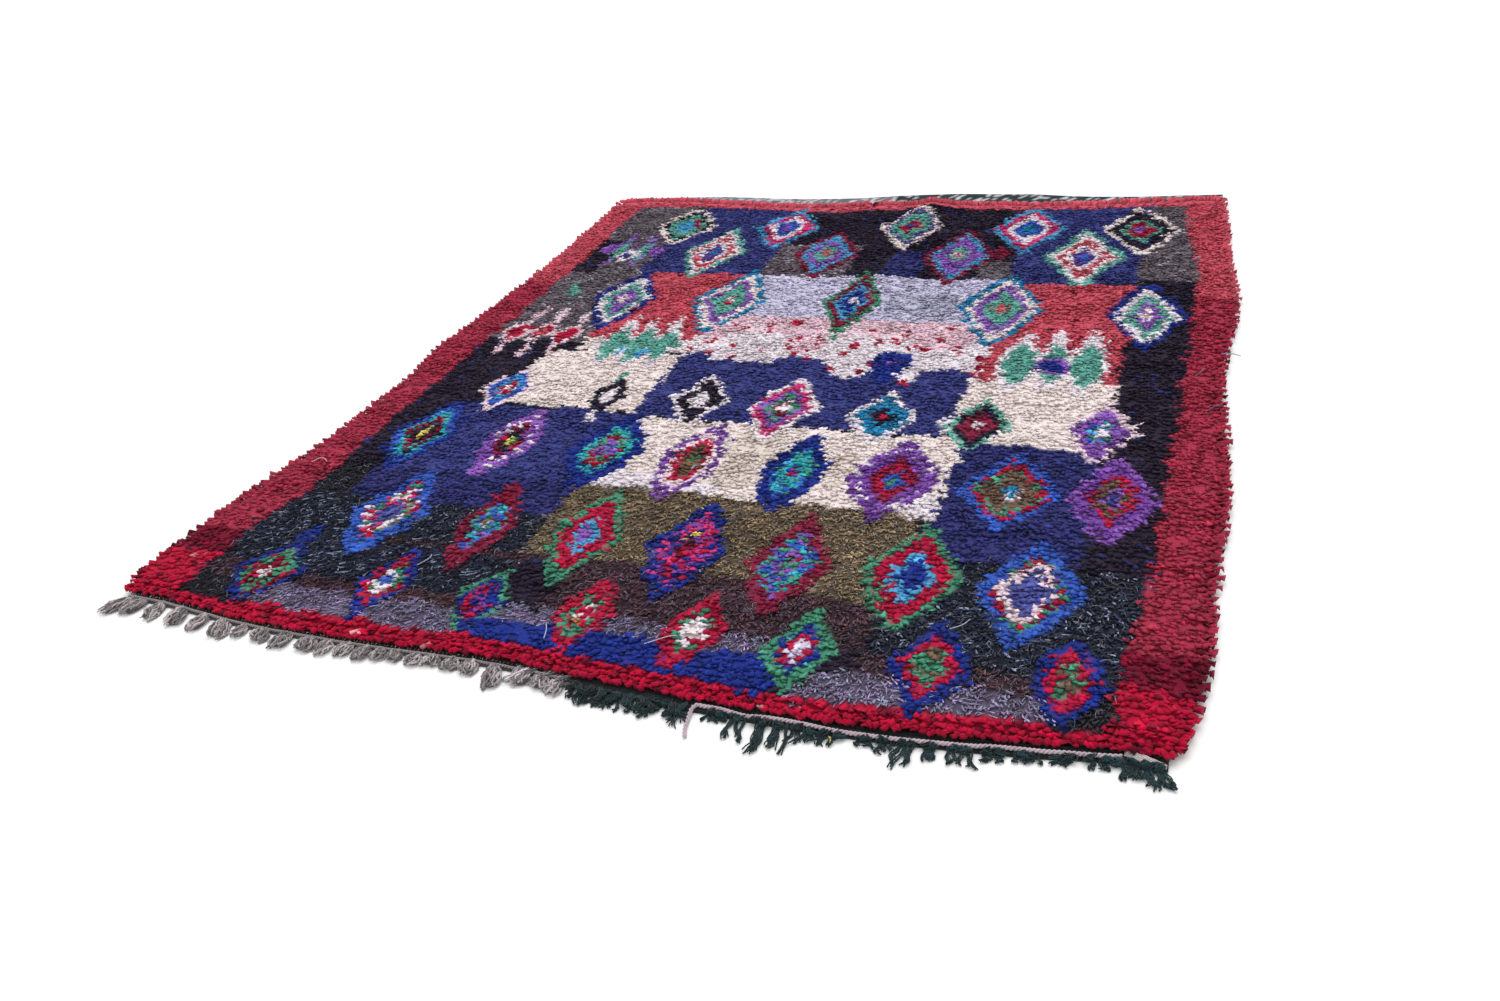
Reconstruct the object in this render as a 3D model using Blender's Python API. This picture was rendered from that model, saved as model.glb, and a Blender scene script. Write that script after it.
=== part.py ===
"""A boucherouite rug lying flat: a knotted field of rag and yarn pile with a flat-woven far end, and the
narrow strips, tassels, strands and cord that finish its near end.

Lengths are in metres and +Z is up. The origin is on the floor under the middle of the pile. +X runs across
the rug, and +Y runs along it, away from the fringed end.
"""

import math
import random
from typing import NamedTuple

import bmesh
import bpy
from mathutils import Vector, noise

# Driving sizes
GAP = 0.0005
PILE_HEIGHT = 0.018
RIM_HEIGHT = 0.014
RIM_UNEVEN = 0.001
RIM_LUMP_SHARE = 0.6
LUMP_HEIGHT = 0.0045
LUMP_PITCH = 0.080
FINE_LUMP_SHARE = 0.6
FINE_LUMP_PITCH = 0.045
GRID_PITCH = 0.036
GRID_WANDER = 0.0040
WANDER_PITCH = 0.033
WALL_BREAK = 0.0065
BREAK_SHARE = 0.5
FLAT_WEAVE = 0.0035

# The long soft wrinkle that starts at the far end
RIDGE_X = 0.115
RIDGE_DRIFT = 0.045
RIDGE_HEIGHT = 0.011
RIDGE_HALF_WIDTH = 0.045
RIDGE_END_Y = -0.35
RIDGE_FADE_POWER = 1.5

# Locks of pile round the rim
LOCKS_EACH_RUN = 5
LOCKS_IN_RUN = (0, 2)
SIDE_LOCK_REACH = 0.013
SIDE_LOCK_SLIP = 0.003
END_LOCK_REACH = 0.008
LOCK_TIP_HEIGHT = 0.007
LOCK_TIP_WIDTH = 0.6
LOCK_SHORTEST = 0.7
LOCK_LONGEST = 1.2

# The flat-woven far end
FAR_STEP = 0.002
FAR_WAVE = 0.0012
FAR_WAVE_PITCH = 0.11

# The strips outside the near edge of the pile
BRAID_IN = 0.0100
BRAID_CREST = 0.0140
GREY_OUT = 0.0180
BRAID_HEIGHT = 0.0080
BRAID_EDGE_HEIGHT = 0.0056
BRAID_DIP = 0.0014
GREEN_OUT = 0.0220
GREY_START = -0.784
STRIP_PARTING = 0.030
GREEN_END = 0.780

# Tassels and strands
TASSEL_NECK = 0.012
TASSEL_HEIGHT = 0.011
STRAND_WIDTH = 0.0028
STRAND_TIP = 0.0020
STRAND_BEND = 0.0035
STRAND_STATIONS = (0.35, 0.7, 1.0)
STRAND_SHORTEST = 0.86
STRAND_LONGEST = 1.05
FAN_LEAST = 0.9
FAN_MOST = 1.15

# The cord and the tape
LIE_GAP = 0.0004
CORD_RADIUS = 0.0030
CORD_STEP = 0.012
CORD_ON_STRIP = FLAT_WEAVE + LIE_GAP + CORD_RADIUS
CORD_ON_FLOOR = CORD_RADIUS + 0.0001
TAPE_THICKNESS = 0.0016
TAPE_WIDTH = 0.009
TAPE_TIP_WIDTH = 0.003
TAPE_STEPS = 4

# How a wall face is told from the faces round it
FACING = 0.75
STEEP = 0.6
ON_FLOOR = 1e-6


class EdgePoint(NamedTuple):
    """One point of an edge of the pile: how far along it, and where the edge is there."""

    along: float
    place: float


class Tassel(NamedTuple):
    """One grey tassel: where its neck leaves the braid, its width, its length and how far its end leans."""

    x: float
    width: float
    length: float
    lean: float


class Cluster(NamedTuple):
    """One bunch of green strands: where its roots start and end, how many, how long and how far they lean."""

    start: float
    end: float
    strands: int
    length: float
    lean: float


class TasselStation(NamedTuple):
    """One station along a tassel: its share of the length, and of the full width and height."""

    share: float
    width: float
    height: float


class RoutePoint(NamedTuple):
    """One point of the cord on the strip: its X and its distance outside the pile."""

    x: float
    out: float


# Edges of the pile: along is Y on the two sides and X on the two ends
LEFT_EDGE = (
    EdgePoint(-0.925, -0.786),
    EdgePoint(-0.870, -0.808),
    EdgePoint(-0.760, -0.806),
    EdgePoint(-0.600, -0.795),
    EdgePoint(-0.450, -0.776),
    EdgePoint(-0.200, -0.767),
    EdgePoint(0.000, -0.783),
    EdgePoint(0.400, -0.770),
    EdgePoint(0.700, -0.780),
    EdgePoint(0.930, -0.795),
)
RIGHT_EDGE = (
    EdgePoint(-0.925, 0.782),
    EdgePoint(-0.860, 0.798),
    EdgePoint(-0.700, 0.816),
    EdgePoint(-0.600, 0.813),
    EdgePoint(-0.350, 0.824),
    EdgePoint(0.030, 0.808),
    EdgePoint(0.320, 0.824),
    EdgePoint(0.600, 0.805),
    EdgePoint(0.930, 0.786),
)
NEAR_EDGE = (
    EdgePoint(-0.800, -0.907),
    EdgePoint(-0.710, -0.909),
    EdgePoint(-0.520, -0.928),
    EdgePoint(-0.300, -0.931),
    EdgePoint(-0.090, -0.926),
    EdgePoint(0.100, -0.937),
    EdgePoint(0.400, -0.942),
    EdgePoint(0.620, -0.926),
    EdgePoint(0.720, -0.912),
    EdgePoint(0.800, -0.912),
)
FAR_EDGE = (
    EdgePoint(-0.800, 0.925),
    EdgePoint(-0.600, 0.930),
    EdgePoint(-0.450, 0.905),
    EdgePoint(-0.230, 0.880),
    EdgePoint(-0.020, 0.895),
    EdgePoint(0.250, 0.889),
    EdgePoint(0.450, 0.891),
    EdgePoint(0.650, 0.912),
    EdgePoint(0.800, 0.925),
)
FLAT_WOVEN_END = (
    EdgePoint(-0.800, 0.974),
    EdgePoint(-0.500, 0.984),
    EdgePoint(-0.280, 0.962),
    EdgePoint(-0.140, 0.964),
    EdgePoint(0.100, 0.992),
    EdgePoint(0.300, 0.990),
    EdgePoint(0.540, 0.968),
    EdgePoint(0.800, 0.982),
)

GREY_TASSELS = (
    Tassel(-0.7730, 0.030, 0.043, -0.026),
    Tassel(-0.7500, 0.029, 0.037, -0.006),
    Tassel(-0.7100, 0.025, 0.041, 0.000),
    Tassel(-0.6680, 0.034, 0.040, 0.016),
    Tassel(-0.6130, 0.030, 0.036, 0.003),
    Tassel(-0.5720, 0.032, 0.037, 0.012),
    Tassel(-0.5266, 0.020, 0.026, 0.000),
    Tassel(-0.4890, 0.027, 0.026, 0.002),
    Tassel(-0.4440, 0.034, 0.031, 0.002),
    Tassel(-0.3990, 0.029, 0.028, -0.001),
    Tassel(-0.3655, 0.026, 0.029, 0.001),
    Tassel(-0.3320, 0.028, 0.026, 0.000),
    Tassel(-0.3000, 0.025, 0.027, 0.001),
    Tassel(-0.2730, 0.019, 0.021, 0.000),
    Tassel(-0.2476, 0.019, 0.019, 0.001),
    Tassel(-0.2140, 0.021, 0.023, 0.001),
    Tassel(-0.1860, 0.023, 0.019, -0.001),
    Tassel(-0.1550, 0.024, 0.021, 0.001),
    Tassel(-0.1240, 0.022, 0.025, -0.001),
    Tassel(-0.0900, 0.026, 0.042, 0.019),
    Tassel(-0.0400, 0.024, 0.028, 0.006),
    Tassel(-0.0090, 0.024, 0.026, 0.003),
    Tassel(0.0180, 0.019, 0.028, -0.001),
)

TASSEL_SHAPE = (
    TasselStation(0.25, 0.85, 0.9),
    TasselStation(0.60, 1.00, 1.0),
    TasselStation(0.88, 0.85, 0.8),
    TasselStation(1.00, 0.40, 0.4),
)

GREEN_CLUSTERS = (
    Cluster(0.0360, 0.0740, 7, 0.027, 0.003),
    Cluster(0.0760, 0.1190, 8, 0.030, -0.003),
    Cluster(0.1250, 0.1640, 7, 0.029, 0.004),
    Cluster(0.1680, 0.1830, 3, 0.010, 0.000),
    Cluster(0.1860, 0.2060, 4, 0.033, 0.002),
    Cluster(0.2340, 0.2620, 5, 0.012, 0.001),
    Cluster(0.2680, 0.2920, 5, 0.037, 0.001),
    Cluster(0.2980, 0.3440, 8, 0.050, 0.005),
    Cluster(0.3500, 0.3780, 5, 0.024, 0.002),
    Cluster(0.3840, 0.4120, 5, 0.020, -0.003),
    Cluster(0.4300, 0.4500, 3, 0.012, 0.002),
    Cluster(0.4560, 0.4760, 4, 0.018, -0.001),
    Cluster(0.4810, 0.5020, 4, 0.041, -0.003),
    Cluster(0.5070, 0.5290, 4, 0.024, 0.003),
    Cluster(0.5370, 0.5680, 5, 0.028, 0.004),
    Cluster(0.5780, 0.6020, 4, 0.014, 0.001),
    Cluster(0.6160, 0.6420, 4, 0.012, 0.001),
    Cluster(0.6560, 0.6820, 4, 0.011, -0.001),
    Cluster(0.6940, 0.7160, 4, 0.014, 0.002),
    Cluster(0.7240, 0.7480, 5, 0.022, 0.006),
    Cluster(0.7510, 0.7740, 5, 0.026, 0.012),
)

CORD_ROUTE = (
    RoutePoint(0.7220, 0.0160),
    RoutePoint(0.7010, 0.0170),
    RoutePoint(0.6730, 0.0160),
    RoutePoint(0.6450, 0.0155),
    RoutePoint(0.6170, 0.0145),
    RoutePoint(0.5840, 0.0150),
    RoutePoint(0.5670, 0.0170),
    RoutePoint(0.5330, 0.0175),
    RoutePoint(0.5050, 0.0180),
    RoutePoint(0.4770, 0.0185),
    RoutePoint(0.4480, 0.0185),
    RoutePoint(0.4040, 0.0180),
    RoutePoint(0.3640, 0.0150),
    RoutePoint(0.3350, 0.0140),
    RoutePoint(0.3080, 0.0150),
    RoutePoint(0.2855, 0.0180),
    RoutePoint(0.2520, 0.0140),
    RoutePoint(0.2300, 0.0145),
)
CORD_TAIL = (
    Vector((0.2200, -0.9555, CORD_ON_STRIP)),
    Vector((0.2165, -0.9620, CORD_ON_STRIP)),
    Vector((0.2160, -0.9700, 0.5 * (CORD_ON_STRIP + CORD_ON_FLOOR))),
    Vector((0.2170, -0.9790, CORD_ON_FLOOR)),
    Vector((0.2195, -0.9940, CORD_ON_FLOOR)),
    Vector((0.2250, -1.0080, CORD_ON_FLOOR)),
)
TAPE_ROOT = Vector((0.7330, -0.9185))
TAPE_TIP = Vector((0.7780, -0.9320))


def clear_scene():
    for obj in list(bpy.data.objects):
        bpy.data.objects.remove(obj, do_unlink=True)


def collection_for(name):
    collection = bpy.data.collections.new(name)
    bpy.context.scene.collection.children.link(collection)
    return collection


def material_for(name, colour, roughness):
    material = bpy.data.materials.new(name)
    material.use_nodes = True
    shader = material.node_tree.nodes["Principled BSDF"]
    shader.inputs["Base Color"].default_value = (*colour, 1.0)
    shader.inputs["Roughness"].default_value = roughness
    shader.inputs["Metallic"].default_value = 0.0
    return material


def object_from(bm, name, collection, material):
    bmesh.ops.recalc_face_normals(bm, faces=bm.faces)
    mesh = bpy.data.meshes.new(name)
    bm.to_mesh(mesh)
    bm.free()
    mesh.materials.append(material)
    obj = bpy.data.objects.new(name, mesh)
    collection.objects.link(obj)
    return obj


def edge_at(table, along):
    """The edge's place at a distance along it: a smooth curve through the table's points."""
    last = len(table) - 2
    index = sum(point.along <= along for point in table) - 1
    index = min(max(index, 0), last)
    here = table[index]
    there = table[index + 1]
    span = there.along - here.along
    part = min(max((along - here.along) / span, 0.0), 1.0)

    def slope(number):
        low = table[max(number - 1, 0)]
        high = table[min(number + 1, last + 1)]
        return (high.place - low.place) / (high.along - low.along)

    rise = there.place - here.place
    start = slope(index) * span
    end = slope(index + 1) * span
    bend = part * (1.0 - part)
    return here.place + rise * part + bend * ((1.0 - part) * (start - rise) - part * (end - rise))


def pile_place(across, away):
    """X and Y of a point of the pile, from its share of the way across and of the way to the far end."""
    x = 0.0
    for _ in range(5):
        y = edge_at(NEAR_EDGE, x) * (1.0 - away) + edge_at(FAR_EDGE, x) * away
        x = edge_at(LEFT_EDGE, y) * (1.0 - across) + edge_at(RIGHT_EDGE, y) * across
    return x, y


def ridge_at(x, y):
    """Height of the soft wrinkle, which fades and drifts sideways from the far end towards the near one."""
    fade = min(max((y - RIDGE_END_Y) / (FAR_EDGE[0].place - RIDGE_END_Y), 0.0), 1.0)
    crest = RIDGE_X - RIDGE_DRIFT * (1.0 - fade)
    across = (x - crest) / RIDGE_HALF_WIDTH
    return RIDGE_HEIGHT * fade**RIDGE_FADE_POWER * math.exp(-across * across)


def uneven(x, y, pitch, layer):
    """Smooth noise from -1 to 1 over the rug, a different pattern for each layer."""
    return noise.noise(Vector((x / pitch, y / pitch, layer)))


def lumps_at(x, y):
    lump = uneven(x, y, LUMP_PITCH, 0.5)
    return LUMP_HEIGHT * (lump + FINE_LUMP_SHARE * uneven(x, y, FINE_LUMP_PITCH, 1.5))


def grid_steps(bm, columns, rows):
    """A flat grid, with each vertex paired with its column and row."""
    bmesh.ops.create_grid(bm, x_segments=columns, y_segments=rows, size=0.5)
    return [
        (vert, round((vert.co.x + 0.5) * columns), round((vert.co.y + 0.5) * rows))
        for vert in bm.verts
    ]


def drop_rim(bm, height):
    """Extrudes the open rim straight down to a height."""
    rim = [edge for edge in bm.edges if edge.is_boundary]
    verts = made_verts(bmesh.ops.extrude_edge_only(bm, edges=rim)["geom"])
    for vert in verts:
        vert.co.z = height
    return verts


def made_verts(made):
    return [item for item in made if isinstance(item, bmesh.types.BMVert)]


def made_faces(made):
    return [item for item in made if isinstance(item, bmesh.types.BMFace)]


def close_underside(bm):
    rim = [edge for edge in bm.edges if edge.is_boundary]
    bmesh.ops.holes_fill(bm, edges=rim, sides=len(rim))
    bmesh.ops.recalc_face_normals(bm, faces=bm.faces)


class Section(NamedTuple):
    """The cross-section of a lock or strand at one place on its way out."""

    centre: Vector
    side: Vector
    width: float
    low: float
    high: float


def section_of(faces, side):
    """The section that some faces of a wall make, measured along the wall."""
    corners = {vert for face in faces for vert in face.verts}
    middle = sum((vert.co for vert in corners), Vector()) / len(corners)
    spread = [(vert.co - middle).dot(side) for vert in corners]
    heights = [vert.co.z for vert in corners]
    return Section(middle, side, max(spread) - min(spread), min(heights), max(heights))


def grow(bm, faces, sections):
    """Extrudes faces of a wall through a row of sections, the first of which is the faces' own."""
    for old, new in zip(sections, sections[1:]):
        made = bmesh.ops.extrude_face_region(bm, geom=faces)["geom"]
        for vert in made_verts(made):
            across = (vert.co - old.centre).dot(old.side) / old.width
            up = (vert.co.z - old.low) / (old.high - old.low)
            vert.co = new.centre + new.side * (across * new.width)
            vert.co.z = new.low + up * (new.high - new.low)
        bmesh.ops.delete(bm, geom=faces, context="FACES")
        faces = made_faces(made)


def wall_runs(bm, direction):
    """The wall faces that look one way, on the floor and above it, each row in order along the wall."""
    side = Vector((-direction.y, direction.x, 0.0))
    walls = [face for face in bm.faces if face.normal.dot(direction) > FACING and abs(face.normal.z) < STEEP]
    walls.sort(key=lambda face: face.calc_center_median().dot(side))
    lower = [face for face in walls if min(vert.co.z for vert in face.verts) < ON_FLOOR]
    upper = [face for face in walls if min(vert.co.z for vert in face.verts) > ON_FLOOR]
    return side, lower, upper


def has_lock(number, faces):
    """Whether a face in a row of wall faces grows a lock: two in each run do, and the row's ends don't."""
    return number % LOCKS_EACH_RUN in LOCKS_IN_RUN and 0 < number < len(faces) - 1


def add_side_locks(bm, direction, chance):
    """Locks that lie on the floor beside the pile, grown from the whole height of its wall."""
    side, lower, _ = wall_runs(bm, direction)
    lower = [face for face in lower if face.calc_center_median().y < FAR_EDGE[0].place]
    for number, low_face in enumerate(lower):
        if not has_lock(number, lower):
            continue
        top_edge = max(low_face.edges, key=lambda edge: sum(vert.co.z for vert in edge.verts))
        high_face = next(face for face in top_edge.link_faces if face != low_face)
        root = section_of([low_face, high_face], side)
        reach = direction * (SIDE_LOCK_REACH * chance.uniform(LOCK_SHORTEST, LOCK_LONGEST))
        slip = side * chance.uniform(-SIDE_LOCK_SLIP, SIDE_LOCK_SLIP)
        tip_width = root.width * LOCK_TIP_WIDTH
        tip = Section(root.centre + reach + slip, side, tip_width, 0.0, LOCK_TIP_HEIGHT)
        grow(bm, [low_face, high_face], [root, tip])


def add_end_locks(bm, direction, chance):
    """Locks that hang out over the flat weave at an end, grown from the upper part of the pile's wall."""
    side, _, upper = wall_runs(bm, direction)
    upper = [face for face in upper if max(vert.co.z for vert in face.verts) > WALL_BREAK + ON_FLOOR]
    for number, face in enumerate(upper):
        if not has_lock(number, upper):
            continue
        root = section_of([face], side)
        reach = direction * (END_LOCK_REACH * chance.uniform(LOCK_SHORTEST, 1.0))
        tip_width = root.width * LOCK_TIP_WIDTH
        tip = Section(root.centre + reach, side, tip_width, WALL_BREAK, WALL_BREAK + LOCK_TIP_HEIGHT)
        grow(bm, [face], [root, tip])


def flat_woven_place(x, pile_end, share):
    """A point of the flat-woven end, from its share of the way out from the pile, with low waves."""
    start = pile_end + FAR_STEP
    end = edge_at(FLAT_WOVEN_END, x)
    wave = FAR_WAVE * (1.0 + uneven(x, share, FAR_WAVE_PITCH, 7.5)) * share
    return Vector((x, start + (end - start) * share, FLAT_WEAVE + wave))


def build_pile(collection):
    """The knotted field and its flat-woven far end, one cloth: a lumpy slab, locks at its rim, flat below."""
    chance = random.Random(11)
    columns = round((RIGHT_EDGE[0].place - LEFT_EDGE[0].place) / GRID_PITCH)
    pile_rows = round((FAR_EDGE[0].place - NEAR_EDGE[0].place) / GRID_PITCH)
    flat_rows = 2
    bm = bmesh.new()
    for vert, column, row in grid_steps(bm, columns, pile_rows + 1 + flat_rows):
        x, y = pile_place(column / columns, min(row / pile_rows, 1.0))
        if row > pile_rows:
            vert.co = flat_woven_place(x, y, (row - pile_rows - 1) / flat_rows)
        elif column in (0, columns) or row in (0, pile_rows):
            vert.co = (x, y, RIM_HEIGHT + ridge_at(x, y) + RIM_LUMP_SHARE * lumps_at(x, y))
        else:
            vert.co = (x, y, PILE_HEIGHT + ridge_at(x, y) + lumps_at(x, y))
            vert.co.x += GRID_WANDER * uneven(x, y, WANDER_PITCH, 3.5)
            vert.co.y += GRID_WANDER * uneven(x, y, WANDER_PITCH, 5.5)
    rim = [edge for edge in bm.edges if edge.is_boundary]
    bmesh.ops.subdivide_edges(bm, edges=rim, cuts=1)
    for vert in bm.verts:
        if vert.is_boundary and vert.co.z > WALL_BREAK:
            vert.co.z += RIM_UNEVEN * chance.uniform(-1.0, 1.0)
    for vert in drop_rim(bm, WALL_BREAK):
        above = max(edge.other_vert(vert).co.z for edge in vert.link_edges)
        vert.co.z = min(WALL_BREAK, BREAK_SHARE * above)
    drop_rim(bm, 0.0)
    close_underside(bm)
    add_side_locks(bm, Vector((-1.0, 0.0, 0.0)), chance)
    add_side_locks(bm, Vector((1.0, 0.0, 0.0)), chance)
    add_end_locks(bm, Vector((0.0, -1.0, 0.0)), chance)
    add_end_locks(bm, Vector((0.0, 1.0, 0.0)), chance)
    material = material_for("pile", (0.30, 0.05, 0.10), 0.95)
    return object_from(bm, "pile", collection, material)


def strip_slab(bm, xs, profile):
    """A narrow strip along the near edge of the pile, from its X steps and its profile outwards."""
    columns = len(xs) - 1
    rows = len(profile) - 1
    for vert, column, row in grid_steps(bm, columns, rows):
        x = xs[column]
        out, height = profile[rows - row]
        if BRAID_IN < out < GREY_OUT:
            height -= BRAID_DIP * (column % 2)
        vert.co = (x, edge_at(NEAR_EDGE, x) - out, height)
    drop_rim(bm, 0.0)
    close_underside(bm)


def build_grey_fringe(collection):
    """A strip with a braid along it, and fat tassels that lie on the floor, fused to the braid."""
    neck = 0.5 * TASSEL_NECK
    xs = [GREY_START]
    for tassel in GREY_TASSELS:
        xs += [tassel.x - neck, tassel.x + neck]
    xs.append(STRIP_PARTING - GAP)
    profile = (
        (GAP, FLAT_WEAVE),
        (BRAID_IN, FLAT_WEAVE),
        (BRAID_CREST, BRAID_HEIGHT),
        (GREY_OUT, BRAID_EDGE_HEIGHT),
    )
    bm = bmesh.new()
    strip_slab(bm, xs, profile)
    outward = Vector((0.0, -1.0, 0.0))
    side, walls, _ = wall_runs(bm, outward)
    for number, tassel in enumerate(GREY_TASSELS):
        face = walls[2 * number + 1]
        sections = [section_of([face], side)]
        for station in TASSEL_SHAPE:
            centre = sections[0].centre + outward * (tassel.length * station.share)
            centre.x += tassel.lean * station.share
            width = tassel.width * station.width
            sections.append(Section(centre, side, width, 0.0, TASSEL_HEIGHT * station.height))
        grow(bm, [face], sections)
    material = material_for("fringe_grey", (0.20, 0.19, 0.19), 0.95)
    return object_from(bm, "fringe_grey", collection, material)


def strand_roots(cluster):
    """The middles of a bunch's roots, evenly spread between its start and its end."""
    pitch = (cluster.end - cluster.start) / cluster.strands
    return [cluster.start + pitch * (number + 0.5) for number in range(cluster.strands)]


def build_green_fringe(collection):
    """A flat strip with thin strands in bunches that lie on the floor, fused to the strip at their roots."""
    chance = random.Random(23)
    half = 0.5 * STRAND_WIDTH
    xs = [STRIP_PARTING + GAP]
    for cluster in GREEN_CLUSTERS:
        for root_x in strand_roots(cluster):
            xs += [root_x - half, root_x + half]
    xs.append(GREEN_END)
    profile = ((GAP, FLAT_WEAVE), (GREEN_OUT, FLAT_WEAVE))
    bm = bmesh.new()
    strip_slab(bm, xs, profile)
    outward = Vector((0.0, -1.0, 0.0))
    side, walls, _ = wall_runs(bm, outward)
    strand = 0
    for cluster in GREEN_CLUSTERS:
        middle_x = 0.5 * (cluster.start + cluster.end)
        bend = STRAND_BEND * chance.uniform(-1.0, 1.0)
        fan = chance.uniform(FAN_LEAST, FAN_MOST) - 1.0
        for root_x in strand_roots(cluster):
            face = walls[2 * strand + 1]
            strand += 1
            length = cluster.length * chance.uniform(STRAND_SHORTEST, STRAND_LONGEST)
            sections = [section_of([face], side)]
            for share in STRAND_STATIONS:
                centre = sections[0].centre + outward * (length * share)
                spread = (root_x - middle_x) * fan * share
                centre.x += cluster.lean * share + bend * math.sin(math.pi * share) + spread
                width = STRAND_WIDTH + (STRAND_TIP - STRAND_WIDTH) * share
                sections.append(Section(centre, side, width, 0.0, width))
            grow(bm, [face], sections)
    material = material_for("fringe_green", (0.012, 0.035, 0.035), 0.95)
    return object_from(bm, "fringe_green", collection, material)


def smooth_route(points, step):
    """Points at an even step along a smooth curve through a route's own points."""
    parts = 10
    dense = []
    for number in range(len(points) - 1):
        before = points[max(number - 1, 0)]
        here = points[number]
        there = points[number + 1]
        after = points[min(number + 2, len(points) - 1)]
        for part in range(parts):
            t = part / parts
            along = (there - before) * t + (2.0 * before - 5.0 * here + 4.0 * there - after) * t * t
            dense.append(here + 0.5 * (along + (3.0 * here - before - 3.0 * there + after) * t**3))
    dense.append(points[-1])
    lengths = [0.0]
    for here, there in zip(dense, dense[1:]):
        lengths.append(lengths[-1] + (there - here).length)
    count = round(lengths[-1] / step)
    even = []
    for number in range(count + 1):
        target = lengths[-1] * number / count
        index = min(sum(length <= target for length in lengths), len(lengths) - 1)
        span = lengths[index] - lengths[index - 1]
        even.append(dense[index - 1].lerp(dense[index], (target - lengths[index - 1]) / span))
    return even


def build_edge_cord(collection):
    """The pale cord that lies on the green strip, with its loose tail down on the floor."""
    route = [
        Vector((point.x, edge_at(NEAR_EDGE, point.x) - point.out, CORD_ON_STRIP))
        for point in CORD_ROUTE
    ]
    points = smooth_route(route + list(CORD_TAIL), CORD_STEP)
    curve = bpy.data.curves.new("edge_cord", "CURVE")
    curve.dimensions = "3D"
    curve.bevel_depth = CORD_RADIUS
    curve.bevel_resolution = 2
    curve.use_fill_caps = True
    spline = curve.splines.new("POLY")
    spline.points.add(len(points) - 1)
    for spline_point, place in zip(spline.points, points):
        spline_point.co = (*place, 1.0)
    curve.materials.append(material_for("edge_cord", (0.38, 0.31, 0.34), 0.9))
    obj = bpy.data.objects.new("edge_cord", curve)
    collection.objects.link(obj)
    return obj


def build_corner_tape(collection):
    """A tapering end of pale tape that lies on the green strip at the corner."""
    along = (TAPE_TIP - TAPE_ROOT).normalized()
    across = Vector((-along.y, along.x))
    bm = bmesh.new()
    bmesh.ops.create_grid(bm, x_segments=TAPE_STEPS, y_segments=1, size=0.5)
    base = FLAT_WEAVE + LIE_GAP
    for vert in bm.verts:
        share = vert.co.x + 0.5
        width = TAPE_WIDTH + (TAPE_TIP_WIDTH - TAPE_WIDTH) * share**2
        place = TAPE_ROOT.lerp(TAPE_TIP, share) + across * (vert.co.y * width)
        vert.co = (place.x, place.y, base + TAPE_THICKNESS)
    drop_rim(bm, base)
    close_underside(bm)
    material = material_for("corner_tape", (0.50, 0.45, 0.44), 0.9)
    return object_from(bm, "corner_tape", collection, material)


def main():
    clear_scene()
    collection = collection_for("boucherouite_rug")
    build_pile(collection)
    build_grey_fringe(collection)
    build_green_fringe(collection)
    build_edge_cord(collection)
    build_corner_tape(collection)


main()
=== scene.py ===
"""Looks of a boucherouite rug: knotted rag and yarn pile, its woven ground, the strips, tassels and strands of
its near end, the pale cord and tape sewn there, and a pale floor with soft light.

Lengths are in metres, +Z is up, and the origin is on the floor under the middle of the pile. +X runs across the
rug, and +Y runs along it, away from the fringed end. Colours in the tables are sRGB shares from 0 to 1.
"""

import math
from typing import NamedTuple

import bpy
import numpy as np
from bpy.props import FloatProperty, FloatVectorProperty, IntProperty, PointerProperty
from bpy.types import Operator, Panel, PropertyGroup
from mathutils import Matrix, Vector


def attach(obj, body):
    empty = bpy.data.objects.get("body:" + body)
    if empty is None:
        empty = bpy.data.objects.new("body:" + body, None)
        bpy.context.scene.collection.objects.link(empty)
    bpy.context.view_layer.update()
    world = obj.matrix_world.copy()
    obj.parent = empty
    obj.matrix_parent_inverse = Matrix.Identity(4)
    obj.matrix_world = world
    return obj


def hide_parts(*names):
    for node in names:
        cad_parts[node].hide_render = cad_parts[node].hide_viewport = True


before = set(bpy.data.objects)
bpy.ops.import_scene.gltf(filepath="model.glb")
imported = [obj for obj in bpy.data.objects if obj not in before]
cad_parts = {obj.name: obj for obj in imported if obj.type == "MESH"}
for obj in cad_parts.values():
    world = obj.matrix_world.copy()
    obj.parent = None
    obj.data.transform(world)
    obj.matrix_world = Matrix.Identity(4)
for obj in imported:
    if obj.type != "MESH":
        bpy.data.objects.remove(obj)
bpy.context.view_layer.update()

bl_info = {
    "name": "Boucherouite rug",
    "version": (1, 0, 0),
    "blender": (4, 5, 0),
    "location": "3D View > Sidebar > Rug",
    "description": "Makes a knotted rag rug with its fringe, cord and tape",
    "category": "Add Mesh",
}

BODY = "root"


class EdgePoint(NamedTuple):
    """One point of an edge: how far along it, and where the edge is there."""

    along: float
    place: float


class Yarn(NamedTuple):
    """One colour of pile: its colour in sRGB, how much its tufts differ, its flecks, and if it is fine yarn."""

    red: float
    green: float
    blue: float
    spread: float = 0.10
    fleck: str = ""
    fleck_share: float = 0.0
    fine: bool = False


class Block(NamedTuple):
    """One block of the ground: its four sides and its yarn."""

    left: float
    right: float
    near: float
    far: float
    yarn: str


class Lozenge(NamedTuple):
    """One lozenge: its middle, half width, half height, sideways lean of its top, roundness, and rings inwards."""

    x: float
    y: float
    half_width: float
    half_height: float
    lean: float
    roundness: float
    rings: str


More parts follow.
